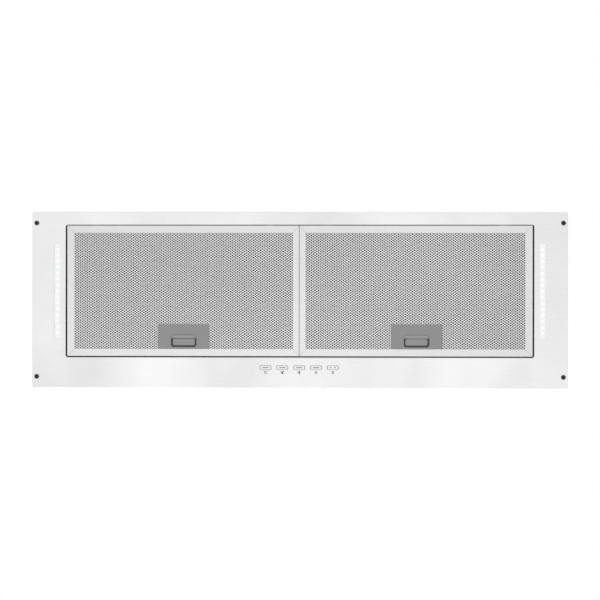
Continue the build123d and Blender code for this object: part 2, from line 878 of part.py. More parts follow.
switch_holder.part.label = "switch_holder"
export_step(switch_holder.part, "parts/switch_holder.step")

with BuildPart() as switch_board:
    with BuildSketch(Plane.XY.offset(switch_holder_top)):
        with Locations((0, button_y)):
            Rectangle(holder_length, well_width + 2 * holder_side)
    extrude(amount=switch_board_sheet)

switch_board.part.label = "switch_board"
export_step(switch_board.part, "parts/switch_board.step")

with BuildPart() as tact_switches:
    with BuildSketch(Plane.XY.offset(switch_holder_top)):
        with Locations((0, button_y)):
            with GridLocations(button_pitch, 0, len(button_names), 1):
                Rectangle(switch_size, switch_size)
    extrude(amount=-switch_height)
    with BuildSketch(Plane.XY.offset(plunger_z)):
        with Locations((0, button_y)):
            with GridLocations(button_pitch, 0, len(button_names), 1):
                Circle(plunger_radius)
    extrude(amount=plunger_height)

tact_switches.part.label = "tact_switches"
export_step(tact_switches.part, "parts/tact_switches.step")

# ---------------------------------------------------------------- casing

case_screw_places = [
    (end * x, row * case_screw_y) for x in case_screw_x for end in (-1, 1) for row in (-1, 1)
]
box_screw_places = [(end * box_screw_x, row * box_screw_y) for end in (-1, 1) for row in (-1, 1)]

with BuildPart() as casing_front:
    add(
        folded_panel(
            wall_plane(0, -1, case_depth / 2, face_top),
            case_length,
            case_wall_height,
            panel_flange,
            panel_flange,
            flange_trim,
        )
    )
    with Locations(*[(x, y, case_height) for x, y in case_screw_places]):
        Cylinder(small_hole_radius, panel_flange, mode=Mode.SUBTRACT)

casing_front.part.label = "casing_front"
export_step(casing_front.part, "parts/casing_front.step")

with BuildPart() as casing_rear:
    add(
        folded_panel(
            wall_plane(0, 1, case_depth / 2, face_top),
            case_length,
            case_wall_height,
            rear_foot_flange,
            panel_flange,
            flange_trim,
        )
    )
    with Locations(*[(x, y, case_height) for x, y in case_screw_places]):
        Cylinder(small_hole_radius, panel_flange, mode=Mode.SUBTRACT)

casing_rear.part.label = "casing_rear"
export_step(casing_rear.part, "parts/casing_rear.step")

for side_name, side in sides:
    with BuildPart() as casing_end:
        add(
            folded_panel(
                wall_plane(side, 0, case_length / 2, face_top),
                case_depth - 2 * panel_sheet,
                case_wall_height,
                panel_flange,
                panel_flange,
                0,
            )
        )
    casing_end.part.label = f"casing_{side_name}"
    export_step(casing_end.part, f"parts/casing_{side_name}.step")

with BuildPart() as casing_top:
    with BuildSketch(Plane.XY.offset(case_height - panel_sheet)):
        Rectangle(case_length, case_depth)
        Rectangle(
            motor_box_length - 2 * (panel_sheet + panel_flange),
            motor_box_depth - 2 * (panel_sheet + panel_flange),
            mode=Mode.SUBTRACT,
        )
        with Locations(*case_screw_places):
            Circle(small_hole_radius, mode=Mode.SUBTRACT)
    extrude(amount=panel_sheet)

casing_top.part.label = "casing_top"
export_step(casing_top.part, "parts/casing_top.step")

# ---------------------------------------------------------------- motor box

capacitor_x = motor_box_length / 2 - capacitor_inset
capacitor_z = case_height + capacitor_rise
gland_y = motor_box_depth / 2 - gland_inset
gland_z = case_height + gland_rise

with BuildPart() as motor_box_front:
    add(
        folded_panel(
            wall_plane(0, -1, motor_box_depth / 2, case_height),
            motor_box_length,
            box_wall_height,
            panel_flange,
            panel_flange,
            flange_trim,
        )
    )

motor_box_front.part.label = "motor_box_front"
export_step(motor_box_front.part, "parts/motor_box_front.step")

with BuildPart() as motor_box_rear:
    add(
        folded_panel(
            wall_plane(0, 1, motor_box_depth / 2, case_height),
            motor_box_length,
            box_wall_height,
            panel_flange,
            panel_flange,
            flange_trim,
        )
    )
    with Locations(Location((capacitor_x, box_inner_y, capacitor_z), (90, 0, 0))):
        Cylinder(capacitor_stud_radius + stud_clearance, through_cut, mode=Mode.SUBTRACT)

motor_box_rear.part.label = "motor_box_rear"
export_step(motor_box_rear.part, "parts/motor_box_rear.step")

for side_name, side in sides:
    with BuildPart() as motor_box_end:
        add(
            folded_panel(
                wall_plane(side, 0, motor_box_length / 2, case_height),
                motor_box_depth - 2 * panel_sheet,
                box_wall_height,
                panel_flange,
                panel_flange,
                0,
            )
        )
        with Locations(*[(x, y, box_ceiling) for x, y in box_screw_places]):
            Cylinder(small_hole_radius, panel_flange, mode=Mode.SUBTRACT)
        with Locations(Location((-motor_box_length / 2, gland_y, gland_z), (0, 90, 0))):
            Cylinder(gland_thread_radius + gland_clearance, through_cut, mode=Mode.SUBTRACT)
    motor_box_end.part.label = f"motor_box_{side_name}"
    export_step(motor_box_end.part, f"parts/motor_box_{side_name}.step")

with BuildPart() as motor_box_lid:
    with BuildSketch(Plane.XY.offset(box_ceiling)):
        Rectangle(motor_box_length, motor_box_depth)
        with Locations((0, outlet_y)):
            Rectangle(2 * scroll_half, outlet_rear - outlet_front, mode=Mode.SUBTRACT)
            with PolarLocations(collar_screw_radius, collar_screw_count, 180 / collar_screw_count):
                Circle(small_hole_radius, mode=Mode.SUBTRACT)
        with Locations(*box_screw_places):
            Circle(small_hole_radius, mode=Mode.SUBTRACT)
    extrude(amount=panel_sheet)

motor_box_lid.part.label = "motor_box_top"
export_step(motor_box_lid.part, "parts/motor_box_top.step")

# ---------------------------------------------------------------- blower scroll

with BuildPart() as scroll_wrap:
    with BuildSketch(Plane.YZ.offset(-scroll_half)):
        with BuildLine():
            volute_outline(scroll_sheet)
        make_face()
        with BuildLine():
            volute_outline(0)
        make_face(mode=Mode.SUBTRACT)
    extrude(amount=2 * scroll_half)

scroll_wrap.part.label = "scroll_wrap"
export_step(scroll_wrap.part, "parts/scroll_wrap.step")

for side_name, side in sides:
    inner_face = scroll_half if side > 0 else -cheek_outer
    with BuildPart() as cheek:
        with BuildSketch(Plane.YZ.offset(inner_face)):
            with BuildLine():
                volute_outline(scroll_sheet)
            make_face()
            with Locations((blower_y, blower_z)):
                Circle(inlet_radius, mode=Mode.SUBTRACT)
                if side > 0:
                    with PolarLocations(bracket_screw_radius, bracket_arm_count, 90):
                        Circle(small_hole_radius, mode=Mode.SUBTRACT)
        extrude(amount=scroll_sheet)
        with Locations((side * (scroll_half + cheek_flange / 2), outlet_y, box_ceiling)):
            Box(
                cheek_flange,
                outlet_rear - outlet_front,
                scroll_sheet,
                align=(Align.CENTER, Align.CENTER, Align.MAX),
            )
    cheek.part.label = f"scroll_cheek_{side_name}"
    export_step(cheek.part, f"parts/scroll_cheek_{side_name}.step")

# ---------------------------------------------------------------- wheel, shaft and motor

# one forward-curved blade, seen along the axis: two like arcs a sheet apart
blade_inner = wheel_radius - blade_depth
skew = math.radians(blade_skew)
blade_root = Vector(blade_inner + blade_sheet, 0)
blade_tip = Vector(math.cos(skew), math.sin(skew)) * (wheel_radius - blade_sheet)
blade_belly = (blade_root + blade_tip) / 2 + Vector(blade_bulge, -blade_bulge)
blade_chord = (blade_tip - blade_root).normalized()
blade_back = Vector(-blade_chord.Y, blade_chord.X) * blade_sheet
blade_profile = make_face(
    [
        ThreePointArc(blade_root, blade_belly, blade_tip),
        Line(blade_tip, blade_tip + blade_back),
        ThreePointArc(blade_tip + blade_back, blade_belly + blade_back, blade_root + blade_back),
        Line(blade_root + blade_back, blade_root),
    ]
)

with BuildPart() as blower_wheel:
    with BuildSketch(Plane.YZ.offset(-wheel_disc / 2)):
        with Locations((blower_y, blower_z)):
            Circle(wheel_radius)
    extrude(amount=wheel_disc)
    with BuildSketch(Plane.YZ.offset(-hub_length)):
        with Locations((blower_y, blower_z)):
            Circle(hub_radius)
    extrude(amount=hub_length)
    with BuildSketch(Plane.YZ.offset(-wheel_width / 2)):
        with Locations((blower_y, blower_z)):
            Circle(wheel_radius)
            Circle(blade_inner, mode=Mode.SUBTRACT)
    extrude(amount=wheel_ring)
    with BuildSketch(Plane.YZ.offset(wheel_width / 2 - wheel_ring)):
        with Locations((blower_y, blower_z)):
            Circle(wheel_radius)
            Circle(blade_inner, mode=Mode.SUBTRACT)
    extrude(amount=wheel_ring)
    with BuildSketch(Plane.YZ.offset(-wheel_width / 2)):
        with Locations((blower_y, blower_z)):
            with PolarLocations(0, blade_count):
                add(blade_profile)
    extrude(amount=wheel_width)
    with BuildSketch(Plane.YZ.offset(-hub_length)):
        with Locations((blower_y, blower_z)):
            Circle(shaft_radius)
    extrude(amount=hub_length + wheel_disc, mode=Mode.SUBTRACT)

blower_wheel.part.label = "blower_wheel"
export_step(blower_wheel.part, "parts/blower_wheel.step")

with BuildPart() as motor_shaft:
    with BuildSketch(Plane.YZ.offset(-hub_length - shaft_end)):
        with Locations((blower_y, blower_z)):
            Circle(shaft_radius)
    extrude(amount=hub_length + shaft_end + cheek_outer + shaft_end)

motor_shaft.part.label = "motor_shaft"
export_step(motor_shaft.part, "parts/motor_shaft.step")

with BuildPart() as motor:
    with BuildSketch(Plane.YZ.offset(motor_disc_gap)):
        with Locations((blower_y, blower_z)):
            Circle(motor_radius)
    extrude(amount=cheek_outer - motor_disc_gap)
    fillet(motor.edges().group_by(Axis.X)[0], motor_edge_radius)
    with BuildSketch(Plane.YZ.offset(motor_disc_gap - motor_nose)):
        with Locations((blower_y, blower_z)):
            Circle(motor_nose_radius)
    extrude(amount=motor_nose)
    with BuildSketch(Plane.YZ.offset(cheek_outer)):
        with Locations((blower_y, blower_z)):
            Circle(motor_tail_radius)
    extrude(amount=motor_tail)
    with BuildSketch(Plane.YZ.offset(motor_disc_gap - motor_nose)):
        with Locations((blower_y, blower_z)):
            Circle(shaft_radius + shaft_clearance)
    extrude(amount=cheek_outer - motor_disc_gap + motor_nose + 2 * shaft_end, mode=Mode.SUBTRACT)

motor.part.label = "motor"
export_step(motor.part, "parts/motor.step")

with BuildPart() as motor_bracket:
    with BuildSketch(Plane.YZ.offset(cheek_outer)):
        with Locations((blower_y, blower_z)):
            Circle(bracket_ring_radius)
            with PolarLocations(0, bracket_arm_count, 90):
                Rectangle(
                    bracket_screw_radius + bracket_reach,
                    bracket_arm_width,
                    align=(Align.MIN, Align.CENTER),
                )
            Circle(motor_tail_radius + bracket_hole_gap, mode=Mode.SUBTRACT)
            with PolarLocations(bracket_screw_radius, bracket_arm_count, 90):
                Circle(small_hole_radius, mode=Mode.SUBTRACT)
    extrude(amount=bracket_sheet)

motor_bracket.part.label = "motor_bracket"
export_step(motor_bracket.part, "parts/motor_bracket.step")

# ---------------------------------------------------------------- electrics in the motor box

with BuildPart() as run_capacitor:
    with BuildSketch(Plane.XZ.offset(-box_inner_y)):
        with Locations((capacitor_x, capacitor_z)):
            Circle(capacitor_radius)
    extrude(amount=capacitor_length)
    fillet(run_capacitor.edges().group_by(Axis.Y)[0], capacitor_edge_radius)
    with BuildSketch(Plane.XZ.offset(-box_inner_y)):
        with Locations((capacitor_x, capacitor_z)):
            Circle(capacitor_stud_radius)
    extrude(amount=-capacitor_stud - panel_sheet)
    with BuildSketch(Plane.XZ.offset(-motor_box_depth / 2)):
        with Locations((capacitor_x, capacitor_z)):
            RegularPolygon(capacitor_nut_radius, 6)
    extrude(amount=-capacitor_nut)

run_capacitor.part.label = "run_capacitor"
export_step(run_capacitor.part, "parts/run_capacitor.step")

control_x = control_inset + control_length / 2 - motor_box_length / 2
control_z = case_height + control_rise
control_open = box_inner_y - control_depth
board_z = box_inner_y - control_wall - board_post
board_length = control_length - 2 * (control_wall + board_fit)
board_height = control_height - 2 * (control_wall + board_fit)
posts_x = board_length - 2 * board_post_inset
posts_z = board_height - 2 * board_post_inset

with BuildPart() as control_box:
    with BuildSketch(Plane.XZ.offset(-box_inner_y)):
        with Locations((control_x, control_z)):
            Rectangle(control_length, control_height)
    extrude(amount=control_depth)
    with BuildSketch(Plane.XZ.offset(-box_inner_y + control_wall)):
        with Locations((control_x, control_z)):
            Rectangle(control_length - 2 * control_wall, control_height - 2 * control_wall)
            with GridLocations(posts_x, posts_z, 2, 2):
                Circle(board_post_radius, mode=Mode.SUBTRACT)
    extrude(amount=board_post, mode=Mode.SUBTRACT)
    with BuildSketch(Plane.XZ.offset(-board_z)):
        with Locations((control_x, control_z)):
            Rectangle(control_length - 2 * control_wall, control_height - 2 * control_wall)
    extrude(amount=board_z - control_open, mode=Mode.SUBTRACT)

control_box.part.label = "control_box"
export_step(control_box.part, "parts/control_box.step")

with BuildPart() as control_cover_plate:
    with BuildSketch(Plane.XZ.offset(-control_open)):
        with Locations((control_x, control_z)):
            Rectangle(control_length, control_height)
    extrude(amount=control_cover)
    fillet(control_cover_plate.edges().group_by(Axis.Y)[0], control_cover / 2)

control_cover_plate.part.label = "control_box_cover"
export_step(control_cover_plate.part, "parts/control_box_cover.step")

board_face = board_z - board_sheet
with BuildPart() as control_board:
    with BuildSketch(Plane.XZ.offset(-board_z)):
        with Locations((control_x, control_z)):
            Rectangle(board_length, board_height)
    extrude(amount=board_sheet)
    with BuildSketch(Plane.XZ.offset(-board_face)):
        with Locations((control_x - board_length / 4, control_z)):
            with GridLocations(0, relay_pitch, 1, relay_count):
                Rectangle(relay_size, relay_size)
    extrude(amount=relay_height)

control_board.part.label = "control_board"
export_step(control_board.part, "parts/control_board.step")

terminal_x = control_x + board_length / 4
with BuildPart() as terminal_block:
    with BuildSketch(Plane.XZ.offset(-board_face)):
        with Locations((terminal_x, control_z)):
            Rectangle(terminal_height, terminal_length)
    extrude(amount=terminal_depth)
    with BuildSketch(Plane.XZ.offset(-board_face + terminal_depth)):
        with Locations((terminal_x, control_z)):
            with GridLocations(0, terminal_length / terminal_ways, 1, terminal_ways):
                Circle(terminal_screw_radius)
    extrude(amount=-terminal_screw_depth, mode=Mode.SUBTRACT)

terminal_block.part.label = "terminal_block"
export_step(terminal_block.part, "parts/terminal_block.step")

driver_x = driver_inset + driver_length / 2 - motor_box_length / 2
with BuildPart() as led_driver:
    with BuildSketch(Plane.XZ.offset(box_inner_y)):
        with Locations((driver_x, case_height + driver_rise)):
            Rectangle(driver_length, driver_height)
    extrude(amount=-driver_depth)
    fillet(led_driver.edges().group_by(Axis.Y)[-1], driver_radius)

led_driver.part.label = "led_driver"
export_step(led_driver.part, "parts/led_driver.step")

# gland in the right wall: dome nut and hexagon outside, thread through the wall, lock nut inside
gland_wall = -motor_box_length / 2
with BuildPart() as cable_gland:
    with BuildSketch(Plane.YZ.offset(gland_wall)):
        with Locations((gland_y, gland_z)):
            RegularPolygon(gland_hex_radius, 6)
    extrude(amount=-gland_hex)
    with BuildSketch(Plane.YZ.offset(gland_wall - gland_hex)):
        with Locations((gland_y, gland_z)):
            Circle(gland_dome_radius)
    extrude(amount=-gland_dome)
    fillet(cable_gland.edges().group_by(Axis.X)[0], gland_dome_edge)
    with BuildSketch(Plane.YZ.offset(gland_wall)):
        with Locations((gland_y, gland_z)):
            Circle(gland_thread_radius)
    extrude(amount=panel_sheet + gland_nut + gland_tail)
    with BuildSketch(Plane.YZ.offset(gland_wall + panel_sheet)):
        with Locations((gland_y, gland_z)):
            RegularPolygon(gland_nut_radius, 6)
    extrude(amount=gland_nut)
    with BuildSketch(Plane.YZ.offset(gland_wall - gland_hex - gland_dome)):
        with Locations((gland_y, gland_z)):
            Circle(gland_bore_radius)
    extrude(
        amount=gland_dome + gland_hex + panel_sheet + gland_nut + gland_tail, mode=Mode.SUBTRACT
    )

cable_gland.part.label = "cable_gland"
export_step(cable_gland.part, "parts/cable_gland.step")

# ---------------------------------------------------------------- outlet collar and damper

with BuildPart() as outlet_collar:
    with BuildSketch(Plane.XY.offset(motor_box_top)):
        with Locations((0, outlet_y)):
            Circle(collar_flange_radius)
            with PolarLocations(collar_screw_radius, collar_screw_count, 180 / collar_screw_count):
                Circle(small_hole_radius, mode=Mode.SUBTRACT)
    extrude(amount=collar_flange_sheet)
    with BuildSketch(Plane.XY.offset(motor_box_top)):
        with Locations((0, outlet_y)):
            Circle(collar_radius)
    extrude(amount=collar_height)
    with BuildSketch(Plane.XY.offset(motor_box_top)):
        with Locations((0, outlet_y)):
            Circle(collar_bore)
    extrude(amount=collar_height, mode=Mode.SUBTRACT)
    # ledge that the closed flaps lie on, notched where the rod passes
    with BuildSketch(Plane.XY.offset(ledge_top)):
        with Locations((0, outlet_y)):
            Circle(collar_radius - collar_wall / 2)
            Circle(collar_bore - damper_ledge, mode=Mode.SUBTRACT)
            Rectangle(
                2 * collar_radius, 2 * (damper_rod_radius + rod_notch), mode=Mode.SUBTRACT
            )
    extrude(amount=-damper_ledge_sheet)
    with Locations(Location((0, outlet_y, rod_z), (0, 90, 0))):
        Cylinder(damper_rod_radius + rod_fit, 2 * collar_radius + through_cut, mode=Mode.SUBTRACT)

outlet_collar.part.label = "outlet_collar"
export_step(outlet_collar.part, "parts/outlet_collar.step")

with BuildPart() as damper_rod:
    with Locations(Location((0, outlet_y, rod_z), (0, 90, 0))):
        Cylinder(damper_rod_radius, 2 * collar_radius)

damper_rod.part.label = "damper_rod"
export_step(damper_rod.part, "parts/damper_rod.step")

# each flap is a half disc with two knuckles round the rod, set beside the other flap's knuckles
for flap_name, reach, first in (("front", -1, -1), ("rear", 1, 1)):
    knuckle_places = (first * knuckle_length / 2, -first * 3 * knuckle_length / 2)
    knuckle_size = knuckle_length - 2 * knuckle_gap
    with BuildPart() as flap:
        with BuildSketch(Plane.XY.offset(rod_z - damper_sheet / 2)):
            with Locations((0, outlet_y)):
                Circle(flap_radius)
            with Locations((0, outlet_y + reach * flap_start)):
                Rectangle(
                    2 * collar_radius,
                    2 * collar_radius,
                    align=(Align.CENTER, Align.MAX if reach > 0 else Align.MIN),
                    mode=Mode.SUBTRACT,
                )
            for place in knuckle_places:
                with Locations((place, outlet_y)):
                    Rectangle(
                        knuckle_size,
                        flap_start + damper_sheet,
                        align=(Align.CENTER, Align.MIN if reach > 0 else Align.MAX),
                    )
        extrude(amount=damper_sheet)
        for place in knuckle_places:
            with Locations(Location((place, outlet_y, rod_z), (0, 90, 0))):
                Cylinder(knuckle_radius, knuckle_size)
        with Locations(Location((0, outlet_y, rod_z), (0, 90, 0))):
            Cylinder(
                damper_rod_radius + damper_rod_clearance, 2 * collar_radius, mode=Mode.SUBTRACT
            )
    flap.part.label = f"damper_flap_{flap_name}"
    export_step(flap.part, f"parts/damper_flap_{flap_name}.step")

# ---------------------------------------------------------------- sheet metal screws

collar_seat = motor_box_top + collar_flange_sheet

with BuildPart() as casing_screws:
    for x, y in case_screw_places:
        add(small_screw(x, y, case_height, (0, 0, 1)))
    for x, y in box_screw_places:
        add(small_screw(x, y, motor_box_top, (0, 0, 1)))
    for number in range(collar_screw_count):
        turn = (number + 1 / 2) * 2 * math.pi / collar_screw_count
        x = collar_screw_radius * math.cos(turn)
        y = outlet_y + collar_screw_radius * math.sin(turn)
        add(small_screw(x, y, collar_seat, (0, 0, 1)))
    for number in range(bracket_arm_count):
        turn = math.pi / 2 + number * 2 * math.pi / bracket_arm_count
        y = blower_y + bracket_screw_radius * math.cos(turn)
        z = blower_z + bracket_screw_radius * math.sin(turn)
        add(small_screw(bracket_outer, y, z, (1, 0, 0)))

casing_screws.part.label = "casing_screws"
export_step(casing_screws.part, "parts/casing_screws.step")
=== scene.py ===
"""Looks of a range hood insert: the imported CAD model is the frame, and this script dresses it.

The hood hangs in its installed pose, face plate down. The camera is below and looks up, so that
the image's right is -X and its top is +Y. Everything is in metres.
"""

import logging
import math
from dataclasses import dataclass
from enum import Enum
from typing import Iterable, Sequence

import bmesh
import bpy
from mathutils import Matrix, Vector

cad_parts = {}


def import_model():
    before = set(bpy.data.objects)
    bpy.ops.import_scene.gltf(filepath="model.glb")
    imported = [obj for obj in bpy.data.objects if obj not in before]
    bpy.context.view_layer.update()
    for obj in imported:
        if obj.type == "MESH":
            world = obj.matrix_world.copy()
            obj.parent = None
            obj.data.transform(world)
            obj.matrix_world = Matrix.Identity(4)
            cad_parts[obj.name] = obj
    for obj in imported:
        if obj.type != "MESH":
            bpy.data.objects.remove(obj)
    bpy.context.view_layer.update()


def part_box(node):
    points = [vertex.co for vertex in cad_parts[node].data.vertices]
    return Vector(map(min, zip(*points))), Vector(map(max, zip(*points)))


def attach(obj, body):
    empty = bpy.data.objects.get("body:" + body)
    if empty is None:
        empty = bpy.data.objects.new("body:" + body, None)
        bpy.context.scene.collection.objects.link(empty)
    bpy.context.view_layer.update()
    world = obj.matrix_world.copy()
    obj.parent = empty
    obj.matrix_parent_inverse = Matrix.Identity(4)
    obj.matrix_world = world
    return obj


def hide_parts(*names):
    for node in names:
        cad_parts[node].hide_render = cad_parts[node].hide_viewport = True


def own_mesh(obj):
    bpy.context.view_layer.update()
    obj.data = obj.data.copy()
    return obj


LOG = logging.getLogger("range_hood_insert")
MM = 0.001

Socket = bpy.types.NodeSocket
Flat = tuple[float, float]
Point = tuple[float, float, float]
Colour = tuple[float, float, float]
Shade = tuple[float, float, float]

WHITE = (1.0, 1.0, 1.0, 1.0)
STILL = (0.0, 0.0, 0.0)
UP = (0.0, 0.0, 1.0)
DOWN = (0.0, 0.0, -1.0)


def grey(level: float) -> Colour:
    """A neutral linear colour.

    Args:
        level: its sRGB level, 0 to 255.

    Returns:
        The linear red, green and blue.
    """
    share = level / 255
    linear = share / 12.92 if share <= 0.04045 else ((share + 0.055) / 1.055) ** 2.4
    return (linear, linear, linear)


def tinted(level: float, warmth: float) -> Colour:
    """A grey that leans to yellow when warmth is above 0, and to blue when it is below.

    Args:
        level: the sRGB level of the green part.
        warmth: sRGB levels that red gains and blue loses.

    Returns:
        The linear red, green and blue.
    """
    return (grey(level + warmth)[0], grey(level)[0], grey(level - warmth)[0])


def placed(name: str, data: bpy.types.ID) -> bpy.types.Object:
    """Puts a mesh, a lamp or a camera into the scene.

    Args:
        name: the object's name.
        data: what it shows.

    Returns:
        The new object, at the origin.
    """
    made = bpy.data.objects.new(name, data)
    bpy.context.scene.collection.objects.link(made)
    return made


# ------------------------------------------------------------------ node trees and finishes


class NodeTree:
    """A node tree under construction."""

    def __init__(self, tree: bpy.types.NodeTree) -> None:
        """Takes over a tree and empties it."""
        self.tree = tree
        self.tree.nodes.clear()

    def fill(self, target: Socket, value: object) -> None:
        """Links a socket to an input, or sets it to a plain value.

        Args:
            target: the input.
            value: an output socket or a plain value.
        """
        if isinstance(value, Socket):
            self.tree.links.new(value, target)
        else:
            target.default_value = value

    def node(self, kind: str, settings: dict[str, object] | None = None, **inputs: object) -> bpy.types.Node:
        """Adds a node, sets its properties and fills its inputs.

        Args:
            kind: Blender's identifier of the node.
            settings: property names and values.
            inputs: input names, with underscores for spaces, and what goes into them.

        Returns:
            The new node.
        """
        made = self.tree.nodes.new(kind)
        for name, value in (settings or {}).items():
            setattr(made, name, value)
        for name, value in inputs.items():
            self.fill(made.inputs[name.replace("_", " ")], value)
        return made

    def maths(self, operation: str, *values: object) -> Socket:
        """A number worked out from others.

        Args:
            operation: Blender's name of the operation.
            values: sockets or plain numbers.

        Returns:
            The result.
        """
        made = self.node("ShaderNodeMath", {"operation": operation})
        for target, value in zip(made.inputs, values):
            self.fill(target, value)
        return made.outputs[0]


class MaterialTree(NodeTree):
    """A material under construction: a Principled shader and the patterns that feed it."""

    def __init__(self, name: str) -> None:
        """Starts a material with its shader, its output and Object coordinates.

        Args:
            name: the material's name.
        """
        self.material = bpy.data.materials.new(name)
        self.material.use_nodes = True
        super().__init__(self.material.node_tree)
        self.shader = self.node("ShaderNodeBsdfPrincipled")
        self.node("ShaderNodeOutputMaterial", Surface=self.shader.outputs["BSDF"])
        self.place = self.node("ShaderNodeTexCoord").outputs["Object"]

    def surface(self, **inputs: object) -> None:
        """Fills inputs of the shader itself, by names with underscores for spaces."""
        for name, value in inputs.items():
            self.fill(self.shader.inputs[name.replace("_", " ")], value)

    def stretched(self, scale: Point | float, drift: Point = STILL) -> Socket:
        """Object coordinates multiplied by a scale.

        Args:
            scale: cycles in each metre, in all directions or along X, Y and Z.
            drift: how many cycles the pattern is moved along X, Y and Z.

        Returns:
            The vector socket.
        """
        scales = scale if isinstance(scale, tuple) else (scale, scale, scale)
        return self.node("ShaderNodeMapping", Vector=self.place, Scale=scales, Location=drift).outputs["Vector"]

    def noise(self, scale: Point | float, detail: float, drift: Point = STILL) -> Socket:
        """A cloud pattern from 0 to 1.

        Args:
            scale: cycles in each metre, in all directions or along X, Y and Z.
            detail: the number of finer layers.
            drift: how many cycles the pattern is moved along X, Y and Z.

        Returns:
            The value socket.
        """
        place = self.stretched(scale, drift)
        return self.node("ShaderNodeTexNoise", Vector=place, Scale=1.0, Detail=detail).outputs["Fac"]

    def cells(self, scale: Point | float, feature: str = "F1") -> bpy.types.Node:
        """A cell pattern, for zinc spangle or strands of metal.

        Args:
            scale: cells in each metre, in all directions or along X, Y and Z.
            feature: Blender's name for what the pattern measures.

        Returns:
            The texture node.
        """
        return self.node("ShaderNodeTexVoronoi", {"feature": feature}, Vector=self.stretched(scale), Scale=1.0)

    def ranged(self, value: Socket, low: float, high: float, start: float = 0.3, end: float = 0.7) -> Socket:
        """Maps a value from the range start to end onto low to high, and holds it there.

        Args:
            value: the incoming value.
            low: the result at start.
            high: the result at end.
            start: the incoming low end; as it stands, the least that a cloud pattern usually has.
            end: the incoming high end; as it stands, the most that a cloud pattern usually has.

        Returns:
            The mapped socket.
        """
        mapped = self.node("ShaderNodeMapRange", Value=value, From_Min=start, From_Max=end, To_Min=low, To_Max=high)
        return mapped.outputs["Result"]

    def uneven(self, pattern: Socket, share: float) -> Socket:
        """A factor about 1 that follows a cloud pattern by a share up and down."""
        return self.ranged(pattern, 1 - share, 1 + share)

    def shadows(self, shade: Shade | None) -> list[Socket]:
        """Factors that fall from one to a share above a level, as in a gap that little light reaches.

        Args:
            shade: Z where the factor starts to fall, how far above it has fallen fully, and its value
                from there on. None gives no factor.

        Returns:
            A list with the factor, or an empty one.
        """
        if shade is None:
            return []
        level, depth, share = shade
        split = self.node("ShaderNodeSeparateXYZ", Vector=self.place)
        return [self.ranged(split.outputs["Z"], 1.0, share, level, level + depth)]

    def tint(self, colour: object, tone: Socket, *others: Socket) -> None:
        """Gives the shader a base colour, multiplied by each tone.

        Args:
            colour: a linear colour or a colour socket.
            tone: the first factor.
            others: further factors.
        """
        for other in others:
            tone = self.maths("MULTIPLY", tone, other)
        product = self.node("ShaderNodeVectorMath", {"operation": "SCALE"}, Scale=tone)
        self.fill(product.inputs[0], colour)
        self.surface(Base_Color=product.outputs["Vector"])

    def relief(self, height: Socket, depth: float, strength: float) -> None:
        """Turns a height pattern into a bump on the shader.

        Args:
            height: the pattern, 0 to 1.
            depth: the real depth of the pattern in metres.
            strength: how strongly the bump is felt, 0 to 1.
        """
        bump = self.node("ShaderNodeBump", Height=height, Distance=depth, Strength=strength)
        self.surface(Normal=bump.outputs["Normal"])


@dataclass(frozen=True)
class BrushedMetal:
    """Sheet metal with a grain: fine strokes along one axis over soft clouds."""

    name: str
    colour: Colour
    roughness: float = 0.32
    stroke: Point = (7.0, 700.0, 700.0)
    fine: Point = (40.0, 2600.0, 2600.0)
    tone: float = 0.05
    cloud: float = 0.03
    spread: Point = (4.0, 5.0, 5.0)
    drift: Point = STILL
    depth: float = 0.02 * MM
    shade: Shade | None = None

    def make(self) -> bpy.types.Material:
        """Builds the material.

        Returns:
            The finished material.
        """
        tree = MaterialTree(self.name)
        stroke, fine = tree.noise(self.stroke, 4.0), tree.noise(self.fine, 2.0)
        cloud = tree.noise(self.spread, 2.0, self.drift)
        tones = tree.uneven(stroke, self.tone), tree.uneven(cloud, self.cloud)
        tree.tint(self.colour, *tones, *tree.shadows(self.shade))
        tree.surface(Roughness=tree.ranged(fine, self.roughness - 0.05, self.roughness + 0.07), Metallic=1.0)
        tree.relief(tree.maths("MULTIPLY", stroke, fine), self.depth, 0.6)
        return tree.material


@dataclass(frozen=True)
class SpangledZinc:
    """Galvanised sheet: flat crystals, each with its own tone and gloss."""

    name: str
    colour: Colour
    crystal: float = 110.0
    roughness: float = 0.42

    def make(self) -> bpy.types.Material:
        """Builds the material.

        Returns:
            The finished material.
        """
        tree = MaterialTree(self.name)
        split = tree.node("ShaderNodeSeparateColor", Color=tree.cells(self.crystal).outputs["Color"])
        tree.tint(self.colour, tree.ranged(split.outputs["Red"], 0.88, 1.08, 0.0, 1.0),
                  tree.ranged(tree.noise(9.0, 4.0), 0.92, 1.06))
        gloss = tree.ranged(split.outputs["Green"], self.roughness - 0.08, self.roughness + 0.12, 0.0, 1.0)
        tree.surface(Roughness=gloss, Metallic=0.85)
        tree.relief(tree.noise(600.0, 2.0), 0.03 * MM, 0.35)
        return tree.material


